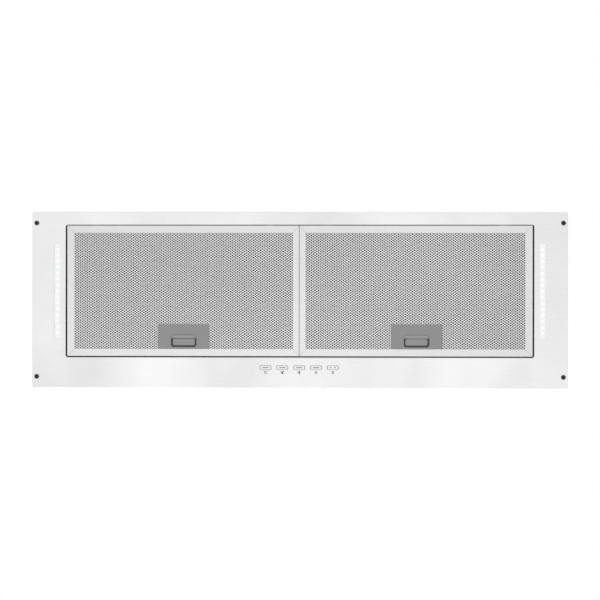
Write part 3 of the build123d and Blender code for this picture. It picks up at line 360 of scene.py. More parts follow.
@dataclass(frozen=True)
class StrandedMetal:
    """Layers of expanded metal behind the perforation: lighter strands over darker gaps, both painted dim as the shade
    deep in the stack of layers.
    """

    name: str
    strand: Colour
    gap: Colour
    pitch: Point = (150.0, 250.0, 150.0)

    def make(self) -> bpy.types.Material:
        """Builds the material.

        Returns:
            The finished material.
        """
        tree = MaterialTree(self.name)
        edge = tree.cells(self.pitch, "DISTANCE_TO_EDGE").outputs["Distance"]
        coarse = tree.noise((300.0, 420.0, 300.0), 3.0)
        open_share = tree.ranged(edge, 0.0, 1.0, 0.08, 0.24)
        mix = tree.node("ShaderNodeMix", {"data_type": "RGBA"})
        # In a mix of colours, input 0 is the share, and inputs 6 and 7 are the colours.
        for index, value in ((0, open_share), (6, (*self.strand, 1.0)), (7, (*self.gap, 1.0))):
            tree.fill(mix.inputs[index], value)
        tree.tint(mix.outputs[2], tree.ranged(coarse, 0.7, 1.25))
        tree.surface(Roughness=tree.ranged(coarse, 0.45, 0.7, 0.0, 1.0), Metallic=0.6)
        tree.relief(open_share, 0.4 * MM, 0.7)
        return tree.material


@dataclass(frozen=True)
class MouldedPlastic:
    """Moulded or lacquered plastic: a fine eroded texture and a slight unevenness of tone."""

    name: str
    colour: Colour
    roughness: float = 0.5
    grain: float = 1800.0
    depth: float = 0.03 * MM
    tone: float = 0.04
    shade: Shade | None = None

    def make(self) -> bpy.types.Material:
        """Builds the material.

        Returns:
            The finished material.
        """
        tree = MaterialTree(self.name)
        grain, cloud = tree.noise(self.grain, 2.0), tree.noise(25.0, 3.0)
        tones = tree.uneven(grain, self.tone), tree.uneven(cloud, self.tone / 2)
        tree.tint(self.colour, *tones, *tree.shadows(self.shade))
        tree.surface(Roughness=tree.ranged(grain, self.roughness - 0.05, self.roughness + 0.08))
        tree.relief(grain, self.depth, 0.5)
        return tree.material


@dataclass(frozen=True)
class FrostedLens:
    """A clear plastic cover with a lightly frosted face."""

    name: str
    colour: Colour = (0.97, 0.98, 1.0)
    roughness: float = 0.28

    def make(self) -> bpy.types.Material:
        """Builds the material.

        Returns:
            The finished material.
        """
        tree = MaterialTree(self.name)
        frost = tree.noise(900.0, 2.0)
        tree.surface(Base_Color=(*self.colour, 1.0), Transmission_Weight=1.0, IOR=1.2,
                     Roughness=tree.ranged(frost, self.roughness - 0.06, self.roughness + 0.06))
        tree.relief(frost, 0.02 * MM, 0.4)
        return tree.material


@dataclass(frozen=True)
class Glow:
    """A white light source: phosphor that is a little brighter in its grains."""

    name: str
    strength: float

    def make(self) -> bpy.types.Material:
        """Builds the material.

        Returns:
            The finished material.
        """
        tree = MaterialTree(self.name)
        glow = tree.ranged(tree.noise(2500.0, 2.0), 0.9 * self.strength, 1.1 * self.strength)
        tree.surface(Base_Color=(0.05, 0.05, 0.05, 1.0), Emission_Color=WHITE, Emission_Strength=glow, Roughness=0.6)
        return tree.material


class Finish(Enum):
    """The finishes of the hood, by the piece of the real one that has them."""

    FACE = BrushedMetal("satin_face_steel", grey(239), 0.34, tone=0.010, cloud=0.08, spread=(8.0, 4.0, 4.0),
                        drift=(23.2, 1.9, 3.3))
    BUTTON = BrushedMetal("satin_button_steel", grey(234), 0.30, tone=0.01, cloud=0.01,
                          shade=(-6.2 * MM, 0.4 * MM, 0.1))
    FRAME = BrushedMetal("satin_frame_aluminium", grey(233), 0.42, (30.0, 500.0, 500.0), tone=0.012, cloud=0.03,
                         shade=(-4.4 * MM, 0.3 * MM, 0.4))
    PERFORATED = BrushedMetal("perforated_aluminium", grey(243), 0.45, (60.0, 300.0, 300.0), tone=0.03)
    # Painted shade: the inner mesh's dim strands and near-black gaps stand for the shade deep in the stack of layers.
    EXPANDED = StrandedMetal("expanded_aluminium", grey(100), grey(26))
    SPRING = BrushedMetal("drawn_spring_wire", grey(190), 0.28, (900.0, 60.0, 900.0))
    SHAFT = BrushedMetal("ground_shaft_steel", grey(205), 0.2, (60.0, 900.0, 900.0))
    BRACKET = BrushedMetal("plated_bracket_steel", tinted(200, 3), 0.35, (80.0, 80.0, 80.0))
    CAN = BrushedMetal("rolled_motor_can", grey(150), 0.38, (15.0, 260.0, 260.0))
    ZINC_SCREW = BrushedMetal("zinc_plated_screw", tinted(214, 5), 0.25, (400.0, 400.0, 400.0), tone=0.06)
    ZINC = SpangledZinc("galvanised_sheet", tinted(186, -2))
    BLACK_SCREW = MouldedPlastic("black_oxide_screw", grey(38), 0.36, 900.0, tone=0.15)
    LATCH_PLATE = MouldedPlastic("matt_grey_latch_plate", grey(158), 0.6, shade=(-4.6 * MM, 0.4 * MM, 0.35))
    LATCH_SLIDE = MouldedPlastic("matt_grey_latch_slide", grey(169), 0.5, shade=(-3.0 * MM, 2.1 * MM, 0.3))
    LENS = FrostedLens("frosted_lamp_lens")
    WHITE_PART = MouldedPlastic("white_lacquer", grey(240), 0.45)
    LAMP_LIGHT = Glow("lamp_phosphor", 1.5)
    # Painted light: the whole lamp board glows. The packages' glow is their own light; the board's glow stands for the
    # lamp's light scattered in its holder.
    LIT_BOARD = Glow("lit_lamp_board", 0.88)
    SIGNAL_LIGHT = Glow("signal_light", 1.6)
    BLACK_PLASTIC = MouldedPlastic("black_plastic", grey(42), 0.48)
    DARK_PLASTIC = MouldedPlastic("dark_grey_plastic", grey(66), 0.5)
    WINDOW = MouldedPlastic("grey_button_window", grey(118), 0.3, 900.0)
    PRINT = MouldedPlastic("grey_symbol_print", grey(50), 0.5, 3000.0, 0.005 * MM)
    # Painted shade: the dark line in each mitre groove of the filter frames stands for the shadow in that groove.
    JOINT = MouldedPlastic("frame_joint_line", grey(140), 0.6, 2000.0, 0.005 * MM)
    BOARD = MouldedPlastic("green_board_lacquer", (0.02, 0.12, 0.05), 0.3, 500.0)
    CASE_WHITE = MouldedPlastic("white_component_case", tinted(228, 2), 0.38)
    FLOOR = MouldedPlastic("pale_floor", grey(243), 0.9, 40.0, 0.1 * MM, 0.01)

    def material(self) -> bpy.types.Material:
        """The finish's material, made at its first use."""
        return bpy.data.materials.get(self.value.name) or self.value.make()


def dress(finish: Finish, *nodes: str) -> None:
    """Gives CAD nodes a finish.

    Args:
        finish: the finish.
        nodes: names of CAD nodes.
    """
    for node in nodes:
        mesh = bpy.data.objects[node].data
        mesh.materials.clear()
        mesh.materials.append(finish.material())
    LOG.info("%s on %s", finish.name, ", ".join(nodes))


# ------------------------------------------------------------------ meshes


def settle(piece: bpy.types.Object, body: str, slot: str, *nodes: str) -> None:
    """Makes a finished piece ride on its body and stand for CAD nodes.

    Args:
        piece: the finished piece.
        body: the CAD body that carries it.
        slot: the record's material slot; not used.
        nodes: CAD nodes that the piece stands for.
    """
    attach(piece, body)
    if nodes:
        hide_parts(*nodes)
    LOG.info("%s: %d faces on %s", piece.name, len(piece.data.polygons), body)


def round_outline(x: float, y: float, length: float, width: float, radius: float, steps: int = 3) -> list[Flat]:
    """The outline of a rectangle with round corners.

    Args:
        x: middle in X.
        y: middle in Y.
        length: size in X.
        width: size in Y.
        radius: corner radius.
        steps: straight runs in each corner.

    Returns:
        The corners in order.
    """
    points = []
    for quarter, (end_x, end_y) in enumerate(((1, 1), (-1, 1), (-1, -1), (1, -1))):
        centre_x = x + end_x * (length / 2 - radius)
        centre_y = y + end_y * (width / 2 - radius)
        for step in range(steps + 1):
            angle = math.pi / 2 * (quarter + step / steps)
            points.append((centre_x + radius * math.cos(angle), centre_y + radius * math.sin(angle)))
    return points


class Shape:
    """A mesh under construction."""

    def __init__(self) -> None:
        """Starts an empty mesh."""
        self.mesh = bmesh.new()

    def piece(self, name: str, finishes: Sequence[Finish], smooth: float = 0.0) -> bpy.types.Object:
        """Ends the construction with an object at the origin.

        Args:
            name: the piece's name.
            finishes: the finishes of material slots 0, 1 and so on.
            smooth: edges flatter than this angle, in degrees, are shaded smooth.

        Returns:
            The new object.
        """
        bmesh.ops.remove_doubles(self.mesh, verts=self.mesh.verts, dist=1e-7)
        bmesh.ops.recalc_face_normals(self.mesh, faces=self.mesh.faces)
        limit = math.radians(smooth)
        for face in self.mesh.faces:
            face.smooth = smooth > 0
        for edge in self.mesh.edges:
            edge.smooth = len(edge.link_faces) == 2 and edge.calc_face_angle(0.0) < limit
        mesh = bpy.data.meshes.new(name)
        self.mesh.to_mesh(mesh)
        self.mesh.free()
        for finish in finishes:
            mesh.materials.append(finish.material())
        return placed(name, mesh)

    def loft(self, sections: Sequence[Sequence[Point]], closed: bool = False, slot: int = 0) -> None:
        """Adds a solid through flat sections with equally many corners.

        Args:
            sections: the corners of each section, in order.
            closed: whether the last section joins the first; otherwise both ends get a face.
            slot: the material slot of its faces.
        """
        stations = [[self.mesh.verts.new(corner) for corner in section] for section in sections]
        faces = [] if closed else [stations[0], stations[-1][::-1]]
        for first, second in zip(stations, stations[1:] + stations[:1] if closed else stations[1:]):
            for here in range(len(first)):
                there = (here + 1) % len(first)
                faces.append([first[here], first[there], second[there], second[here]])
        for corners in faces:
            self.mesh.faces.new(corners).material_index = slot

    def prism(self, outline: Sequence[Flat], levels: Flat, slot: int = 0) -> None:
        """Adds an upright prism on a flat outline, from one level to another."""
        self.loft([[(x, y, z) for x, y in outline] for z in levels], slot=slot)

    def ring(self, middle: Flat, radii: Flat, levels: Flat, start: float = 0.0, sweep: float = 360.0,
             steps: int = 28) -> None:
        """Adds a flat ring, or a part of one.

        Args:
            middle: X and Y of its middle.
            radii: the outer and the inner radius.
            levels: Z of the lower and the upper face.
            start: first angle in degrees.
            sweep: how far it goes round, in degrees.
            steps: straight runs round it.
        """
        closed = sweep >= 360.0
        (outer, inner), (low, high) = radii, levels
        sections = []
        for step in range(steps if closed else steps + 1):
            angle = math.radians(start + sweep * step / steps)
            sections.append([(middle[0] + radius * math.cos(angle), middle[1] + radius * math.sin(angle), z)
                             for radius, z in ((outer, low), (outer, high), (inner, high), (inner, low))])
        self.loft(sections, closed)

    def lathe(self, profile: Sequence[Flat], steps: int) -> list[list[bmesh.types.BMVert]]:
        """Turns a profile round the Z axis, with a face over an end that lies on the axis.

        Args:
            profile: radius and Z of each point.
            steps: straight runs round the axis.

        Returns:
            The corners at each point of the profile; a single one on the axis.
        """
        turns = [2 * math.pi * step / steps for step in range(steps)]
        rings = [
            [self.mesh.verts.new((radius * math.cos(turn), radius * math.sin(turn), z))
             for turn in (turns if radius > 0 else turns[:1])]
            for radius, z in profile
        ]
        for first, second in zip(rings, rings[1:]):
            for here in range(steps):
                there = (here + 1) % steps
                corners = (first[here % len(first)], first[there % len(first)],
                           second[there % len(second)], second[here % len(second)])
                self.mesh.faces.new(list(dict.fromkeys(corners)))
        return rings


# ------------------------------------------------------------------ Geometry Nodes


class PatternTree(NodeTree):
    """A Geometry Nodes tree with named inputs, built node by node."""

    def __init__(self, name: str) -> None:
        """Starts a tree that takes and gives a geometry.

        Args:
            name: the tree's name.
        """
        super().__init__(bpy.data.node_groups.new(name, "GeometryNodeTree"))
        for direction in ("INPUT", "OUTPUT"):
            self.tree.interface.new_socket("Geometry", in_out=direction, socket_type="NodeSocketGeometry")
        self.entry, self.leave = self.node("NodeGroupInput"), self.node("NodeGroupOutput")
        self.identifiers: dict[str, str] = {}

    def sizes(self, kind: str, *names: str) -> list[Socket]:
        """Adds named inputs of one kind.

        Args:
            kind: Float, Int, Bool, Vector or Object.
            names: the inputs' names.

        Returns:
            Their sockets inside the tree.
        """
        for name in names:
            item = self.tree.interface.new_socket(name, in_out="INPUT", socket_type=f"NodeSocket{kind}")
            self.identifiers[name] = item.identifier
        return [self.entry.outputs[name] for name in names]

    def model(self, name: str) -> Socket:
        """Adds a named input for an object, and gives the object's geometry."""
        return self.node("GeometryNodeObjectInfo", Object=self.sizes("Object", name)[0]).outputs["Geometry"]

    def vector(self, x: object, y: object, z: object = 0.0) -> Socket:
        """A vector from three numbers or sockets."""
        return self.node("ShaderNodeCombineXYZ", X=x, Y=y, Z=z).outputs[0]

    def line(self, count: object, start: object, step: Socket) -> Socket:
        """A row of points: their number, the first place and the way from each to the next."""
        return self.node("GeometryNodeMeshLine", Count=count, Start_Location=start, Offset=step).outputs[0]

    def instances(self, points: Socket, model: Socket, **inputs: object) -> Socket:
        """A model set on each point."""
        return self.node("GeometryNodeInstanceOnPoints", Points=points, Instance=model, **inputs).outputs[0]

    def realized(self, geometry: Socket) -> Socket:
        """Instances turned into a real mesh or curve."""
        return self.node("GeometryNodeRealizeInstances", Geometry=geometry).outputs[0]

    def moved(self, geometry: Socket, way: Socket) -> Socket:
        """A geometry in another place."""
        return self.node("GeometryNodeTransform", Geometry=geometry, Translation=way).outputs[0]

    def joined(self, *geometries: Socket) -> Socket:
        """Several geometries as one."""
        join = self.node("GeometryNodeJoinGeometry")
        for geometry in geometries:
            self.fill(join.inputs[0], geometry)
        return join.outputs[0]

    def close(self, geometry: Socket, finish: Finish) -> None:
        """Ends the tree in Realize Instances and Set Material.

        Args:
            geometry: what the tree made.
            finish: its finish.
        """
        dressed = self.node("GeometryNodeSetMaterial", Geometry=self.realized(geometry), Material=finish.material())
        self.fill(self.leave.inputs[0], dressed.outputs[0])

    def grow(self, name: str, seed: bpy.types.Mesh, values: dict[str, object]) -> bpy.types.Object:
        """Runs the tree on a seed mesh and keeps the result as a plain mesh object.

        Args:
            name: the new piece's name.
            seed: the mesh that goes into the tree.
            values: a value for each named input.

        Returns:
            The new object, without a modifier.
        """
        carrier = placed(f"{name}_seed", seed)
        modifier = carrier.modifiers.new(name, "NODES")
        modifier.node_group = self.tree
        for label, value in values.items():
            modifier[self.identifiers[label]] = value
        mesh = bpy.data.meshes.new_from_object(carrier.evaluated_get(bpy.context.evaluated_depsgraph_get()))
        mesh.name = name
        bpy.data.objects.remove(carrier)
        return placed(name, mesh)


def perforation_tree() -> PatternTree:
    """The tree that punches one strip of a sheet and repeats it along X.

    The strip is as wide as the pattern's pitch and holds two columns of holes, one half a step higher
    than the other. Its long sides pass between the columns, so that strips meet in plain edges.

    Returns:
        The tree, whose incoming geometry is the strip's outline about X = 0.
    """
    tree = PatternTree("perforation")
    rows, sides, strips = tree.sizes("Int", "Rows", "Hole Sides", "Strips")
    pitch, row_pitch, radius = tree.sizes("Float", "Pitch", "Row Pitch", "Hole Radius")
    middle, low, high = tree.sizes("Float", "Field Middle", "Field Low", "Field High")
    first, step, thickness, level = tree.sizes("Float", "First Strip", "Step", "Thickness", "Level")
    margin_length, margin_depth = tree.sizes("Float", "Margin Length", "Margin Depth")
    margin, = tree.sizes("Vector", "Margin Middle")
    has_margin, = tree.sizes("Bool", "Has Margin")

    columns = []
    spread = tree.maths("MULTIPLY", tree.maths("SUBTRACT", rows, 1.0), row_pitch)
    start = tree.maths("SUBTRACT", middle, tree.maths("MULTIPLY", spread, 0.5))
    for quarter in (-0.25, 0.25):
        raised = tree.maths("ADD", start, tree.maths("MULTIPLY", row_pitch, quarter))
        foot = tree.vector(tree.maths("MULTIPLY", pitch, quarter), raised)
        columns.append(tree.line(rows, foot, tree.vector(0.0, row_pitch)))
    points = tree.node("GeometryNodeMeshToPoints", Mesh=tree.joined(*columns)).outputs[0]
    place = tree.node("GeometryNodeInputPosition").outputs[0]
    height = tree.node("ShaderNodeSeparateXYZ", Vector=place).outputs["Y"]
    outside = tree.maths("MAXIMUM", tree.maths("LESS_THAN", height, low), tree.maths("GREATER_THAN", height, high))
    kept = tree.node("GeometryNodeDeleteGeometry", {"domain": "POINT"}, Geometry=points, Selection=outside)
    circle = tree.node("GeometryNodeCurvePrimitiveCircle", Resolution=sides, Radius=radius).outputs[0]
    holes = tree.realized(tree.instances(kept.outputs[0], circle))
    border = tree.node("GeometryNodeMeshToCurve", Mesh=tree.entry.outputs["Geometry"]).outputs[0]
    strip = tree.node("GeometryNodeFillCurve", {"mode": "TRIANGLES"}, Curve=tree.joined(border, holes))

    row = tree.line(strips, tree.vector(first, 0.0), tree.vector(step, 0.0))
    field = tree.realized(tree.instances(row, strip.outputs[0]))
    plain = tree.node("GeometryNodeMeshGrid", Size_X=margin_length, Size_Y=margin_depth, Vertices_X=2, Vertices_Y=2)
    chosen = tree.node("GeometryNodeSwitch", {"input_type": "GEOMETRY"}, Switch=has_margin)
    tree.fill(chosen.inputs["True"], tree.moved(plain.outputs[0], margin))
    face = tree.node("GeometryNodeMergeByDistance", Geometry=tree.joined(field, chosen.outputs[0]), Distance=2e-6)
    raised_face = tree.node("GeometryNodeExtrudeMesh", {"mode": "FACES"}, Mesh=face.outputs[0],
                            Offset=tree.vector(0.0, 0.0, 1.0), Offset_Scale=thickness, Individual=False)
    turned = tree.node("GeometryNodeFlipFaces", Mesh=face.outputs[0])
    whole = tree.node("GeometryNodeMergeByDistance",
                      Geometry=tree.joined(raised_face.outputs[0], turned.outputs[0]), Distance=1e-6)
    tree.close(tree.moved(whole.outputs[0], tree.vector(0.0, 0.0, level)), Finish.PERFORATED)
    return tree


def row_tree() -> PatternTree:
    """The tree that repeats a small part at an even pitch along Y.

    Returns:
        The tree, with inputs for the part, its number, its pitch and the first place.
    """
    tree = PatternTree("row_of_parts")
    count, = tree.sizes("Int", "Count")
    pitch, = tree.sizes("Float", "Pitch")
    first, = tree.sizes("Vector", "First")
    line = tree.line(count, first, tree.vector(0.0, pitch))
    tree.close(tree.instances(line, tree.model("Part")), Finish.LAMP_LIGHT)
    return tree


# ------------------------------------------------------------------ sub-assemblies


class Side(Enum):
    """The two halves of the hood as the photograph shows them: its left is +X."""

    LEFT = 1
    RIGHT = -1

    @property
    def word(self) -> str:
        """The side's name as CAD nodes have it."""
        return self.name.lower()


@dataclass
class CrossHeadScrew:
    """A pan head screw with a cross recess, its head's seat at the origin and its tip below.

    The recess is given as shares of the head: how far its arms reach, half their width, how much
    narrower its floor is, and how high its floor lies.
    """

    head_radius: float
    head_height: float
    shank_radius: float
    shank_length: float
    neck_radius: float
    neck_length: float = 1.0 * MM
    pitch: float = 1.2 * MM
    steps: int = 24
    arm_share: float = 0.46
    slim_share: float = 0.11
    floor_share: float = 0.55
    floor_height: float = 0.3

    def shape(self) -> Shape:
        """Builds the screw.

        Returns:
            Its mesh, with the head towards +Z.
        """
        made = Shape()
        z = -self.shank_length
        profile = [(0.0, z), (self.shank_radius * 0.55, z)]
        while z < -self.neck_length - self.pitch:
            profile.append((self.shank_radius * 0.8, z + self.pitch * 0.3))
            profile.append((self.shank_radius, z + self.pitch * 0.65))
            z += self.pitch
        profile += [(self.neck_radius * 0.9, -self.neck_length), (self.neck_radius, -self.neck_length * 0.8),
                    (self.neck_radius, 0.0), (self.head_radius, 0.0)]
        for step in range(6):
            angle = math.pi / 2 * step / 5
            profile.append((self.head_radius * (0.62 + 0.38 * math.cos(angle)),
                            self.head_height * (0.35 + 0.65 * math.sin(angle))))
        self.add_recess(made.mesh, made.lathe(profile, self.steps)[-1])
        return made

    def add_recess(self, made: bmesh.types.BMesh, rim: list[bmesh.types.BMVert]) -> None:
        """Closes the head's top with a face that has a cross-shaped recess.

        Args:
            made: the screw's mesh.
            rim: the last ring of the head.
        """
        arm, slim, share = self.head_radius * self.arm_share, self.head_radius * self.slim_share, self.floor_share
        outline = [(slim, slim), (arm, slim), (arm, -slim), (slim, -slim), (slim, -arm), (-slim, -arm),
                   (-slim, -slim), (-arm, -slim), (-arm, slim), (-slim, slim), (-slim, arm), (slim, arm)]
        mouth = [made.verts.new((x, y, self.head_height)) for x, y in outline]
        floor = [made.verts.new((x * share, y * share, self.head_height * self.floor_height)) for x, y in outline]
        loop = [made.edges.new((mouth[i - 1], mouth[i])) for i in range(len(mouth))]
        border = [made.edges.get((rim[i - 1], rim[i])) for i in range(len(rim))]
        bmesh.ops.triangle_fill(made, edges=loop + border, use_beauty=True)
        inner = [face for face in made.faces if all(vert in mouth for vert in face.verts)]
        bmesh.ops.delete(made, geom=inner, context="FACES_ONLY")
        for i in range(len(mouth)):
            made.faces.new((mouth[i - 1], mouth[i], floor[i], floor[i - 1]))
        made.faces.new(floor)


@dataclass
class Fasteners:
    """Identical screws that stand for one CAD node, each with the direction that its head faces."""

    node: str
    slot: str
    finish: Finish
    screw: CrossHeadScrew
    places: list[Point]
    facings: list[Point]

    def build(self) -> None:
        """Sets the screws out and lets them stand for their node."""
        model = self.screw.shape().piece(f"{self.node}_model", [self.finish], 40.0)
        seed = bpy.data.meshes.new(f"{self.node}_places")
        seed.from_pydata(self.places, [], [])
        facing = seed.attributes.new("facing", "FLOAT_VECTOR", "POINT")
        for entry, direction in zip(facing.data, self.facings):
            entry.vector = direction
        tree = PatternTree(f"{self.node}_tree")
        named = tree.node("GeometryNodeInputNamedAttribute", {"data_type": "FLOAT_VECTOR"}, Name="facing")
        turn = tree.node("FunctionNodeAlignRotationToVector", {"axis": "Z"}, Vector=named.outputs[0])
        spots = tree.entry.outputs["Geometry"]
        tree.close(tree.instances(spots, tree.model("Fastener"), Rotation=turn.outputs[0]), self.finish)
        piece = tree.grow(f"{self.node}_detailed", seed, {"Fastener": model})
        bpy.data.objects.remove(model)
        settle(piece, "hood", self.slot, self.node)


@dataclass
class FaceDressing:
    """The face plate with its screws and the printed symbols.

    A blade of the fan symbols is given as shares of the fan's radius: the middle of the blade, half
    its length, half its width and how much wider its tip is.
    """

    screw_x: float = 422.8 * MM
    screw_y: float = 123.45 * MM
    plate_low: float = -6.0 * MM
    symbol_y: float = -116.4 * MM
    symbol_half: float = 2.7 * MM
    symbol_ink: float = 0.04 * MM
    button_pitch: float = 27.0 * MM
    fan_sizes: tuple[float, ...] = (1.0, 0.9, 0.76)
    blade: tuple[float, float, float, float] = (0.66, 0.4, 0.484, 0.176)
    blade_steps: int = 14
    first_blade: float = 10.0

    def build(self) -> None:
        """Dresses the plate and adds its screws and symbols."""
        dress(Finish.FACE, "face_plate")
        corners = [(x, y, self.plate_low) for x in (-self.screw_x, self.screw_x) for y in (-self.screw_y, self.screw_y)]
        screw = CrossHeadScrew(3.8 * MM, 2.2 * MM, 2.0 * MM, 20.0 * MM, 2.4 * MM)
        Fasteners("cabinet_screws", "black_screw", Finish.BLACK_SCREW, screw, corners, [DOWN] * len(corners)).build()
        self.add_symbols()

    def add_symbols(self) -> None:
        """Prints a symbol in front of each button: off, three speeds by the size of a fan, and light."""
        shape, half = Shape(), self.symbol_half
        levels = (self.plate_low - self.symbol_ink, self.plate_low)
        off, light = ((x, self.symbol_y + half * 0.1) for x in (2 * self.button_pitch, -2 * self.button_pitch))
        shape.ring(off, (half * 0.92, half * 0.64), levels, 115.0, 310.0)
        shape.prism(round_outline(off[0], self.symbol_y + half * 0.45, 0.6 * MM, half, 0.2 * MM), levels)
        for number, size in enumerate(self.fan_sizes):
            self.add_fan(shape, (1 - number) * self.button_pitch, half * size, levels)
        shape.ring(light, (half * 0.8, half * 0.56), levels)
        shape.ring(light, (half * 0.34, half * 0.12), levels, steps=14)
        shape.prism(round_outline(light[0], self.symbol_y - half * 0.82, half * 0.7, 0.5 * MM, 0.2 * MM), levels)
        settle(shape.piece("button_symbols", [Finish.PRINT]), "hood", "black_screw")

    def add_fan(self, shape: Shape, x: float, reach: float, levels: Flat) -> None:
        """Adds the symbol of a fan with three blades.

        Args:
            shape: the mesh that gets it.
            x: middle of the symbol in X.
            reach: the fan's radius.
            levels: Z of the symbol's lower and upper face.
        """
        shape.ring((x, self.symbol_y), (reach * 0.3, reach * 0.06), levels, steps=12)
        middle, half_length, half_width, flare = self.blade
        for number in range(3):
            turn = math.radians(self.first_blade + 120.0 * number)
            outline = []
            for step in range(self.blade_steps):
                angle = 2 * math.pi * step / self.blade_steps
                along = reach * (middle + half_length * math.cos(angle))
                across = reach * math.sin(angle) * (half_width + flare * math.cos(angle))
                outline.append((x + along * math.cos(turn) - across * math.sin(turn),
                                self.symbol_y + along * math.sin(turn) + across * math.cos(turn)))
            shape.prism(outline, levels)


@dataclass
class ButtonDressing:
    """The five push buttons, each with its window bars, and the switches behind them."""

    names: tuple[str, ...] = ("off", "high", "medium", "low", "light")
    pitch: float = 27.0 * MM
    y: float = -108.75 * MM
    floor: float = -6.3 * MM
    bar: float = 0.2 * MM
    window_length: float = 9.8 * MM
    window_width: float = 1.3 * MM
    window_radius: float = 0.4 * MM
    short_length: float = 3.3 * MM
    light_length: float = 1.6 * MM

    def build(self) -> None:
        """Dresses the buttons and adds their windows."""
        dress(Finish.BUTTON, *(f"button_{name}" for name in self.names))
        dress(Finish.BLACK_PLASTIC, "switch_holder", "tact_switches")
        dress(Finish.BOARD, "switch_board")
        for index, name in enumerate(self.names):
            self.add_window(name, (2 - index) * self.pitch)

    def add_window(self, name: str, x: float) -> None:
        """Adds the bar in a button's window; the light's has two short bars with a lit spot between them.

        Args:
            name: the button's name.
            x: the button's middle in X.
        """
        shape, levels = Shape(), (self.floor - self.bar, self.floor)
        offset = (self.window_length - self.short_length) / 2
        bars = [(x, self.window_length)]
        if name == "light":
            bars = [(x - offset, self.short_length), (x + offset, self.short_length)]
            shape.prism(round_outline(x, self.y, self.light_length, self.window_width, 0.6 * MM, 6), levels, 1)
        for middle, length in bars:
            shape.prism(round_outline(middle, self.y, length, self.window_width, self.window_radius, 4), levels)
        piece = shape.piece(f"window_{name}", [Finish.WINDOW, Finish.SIGNAL_LIGHT])
        settle(piece, f"button_{name}", "button_steel")


@dataclass
class LampDressing:
    """A lamp strip: its lens, its holder and a board with its row of light sources."""

    side: Side
    x: float = 390.2 * MM
    y: float = 14.1 * MM
    board_low: float = 0.2 * MM
    board_high: float = 1.4 * MM
    board_width: float = 11.0 * MM
    length: float = 154.0 * MM
    count: int = 15
    pitch: float = 9.63 * MM
    package: float = 3.5 * MM
    package_height: float = 0.75 * MM
    spot_radius: float = 1.47 * MM
    spot_rise: float = 0.2 * MM
    spot_gap: float = 0.02 * MM

    def build(self, rows: PatternTree) -> None:
        """Dresses the lamp and adds its board.

        Args:
            rows: the tree that repeats the light sources.
        """
        word = self.side.word
        dress(Finish.LENS, f"led_lens_{word}")
        dress(Finish.WHITE_PART, f"led_holder_{word}")
        x = self.side.value * self.x
        first = self.y - (self.count - 1) / 2 * self.pitch
        face = self.board_low - self.package_height
        board = Shape()
        outline = round_outline(x, self.y, self.board_width, self.length, 0.5 * MM)
        board.prism(outline, (self.board_low, self.board_high))
        for number in range(self.count):
            package = round_outline(x, first + number * self.pitch, self.package, self.package, 0.3 * MM, 2)
            board.prism(package, (face, self.board_low))
        settle(board.piece(f"lamp_board_{word}", [Finish.LIT_BOARD]), "hood", "lamp_strip", f"led_strip_{word}")

        name = f"lamp_sources_{word}"
        radius, rise = self.spot_radius, self.spot_rise
        spot = Shape()
        spot.lathe([(0.0, -rise), (radius * 0.6, -rise * 0.8), (radius, 0.0), (0.0, 0.0)], 16)
        model = spot.piece(f"{name}_model", [Finish.LAMP_LIGHT], 50.0)
        values = {"Count": self.count, "Pitch": self.pitch, "First": (x, first, face - self.spot_gap), "Part": model}
        sources = rows.grow(name, bpy.data.meshes.new(f"{name}_seed"), values)
        bpy.data.objects.remove(model)
        settle(sources, "hood", "lamp_strip", f"led_strip_{word}")


@dataclass(frozen=True)
class SheetKind:
    """One kind of perforated sheet: the end of its node's name, its level and its holes' sides."""

    node: str
    level: float
    hole_sides: int


class Sheet(Enum):
    """The perforated sheets of a filter."""

    FRONT = SheetKind("front_mesh", -5.0 * MM, 8)
    BACK = SheetKind("back_mesh", 1.5 * MM, 6)


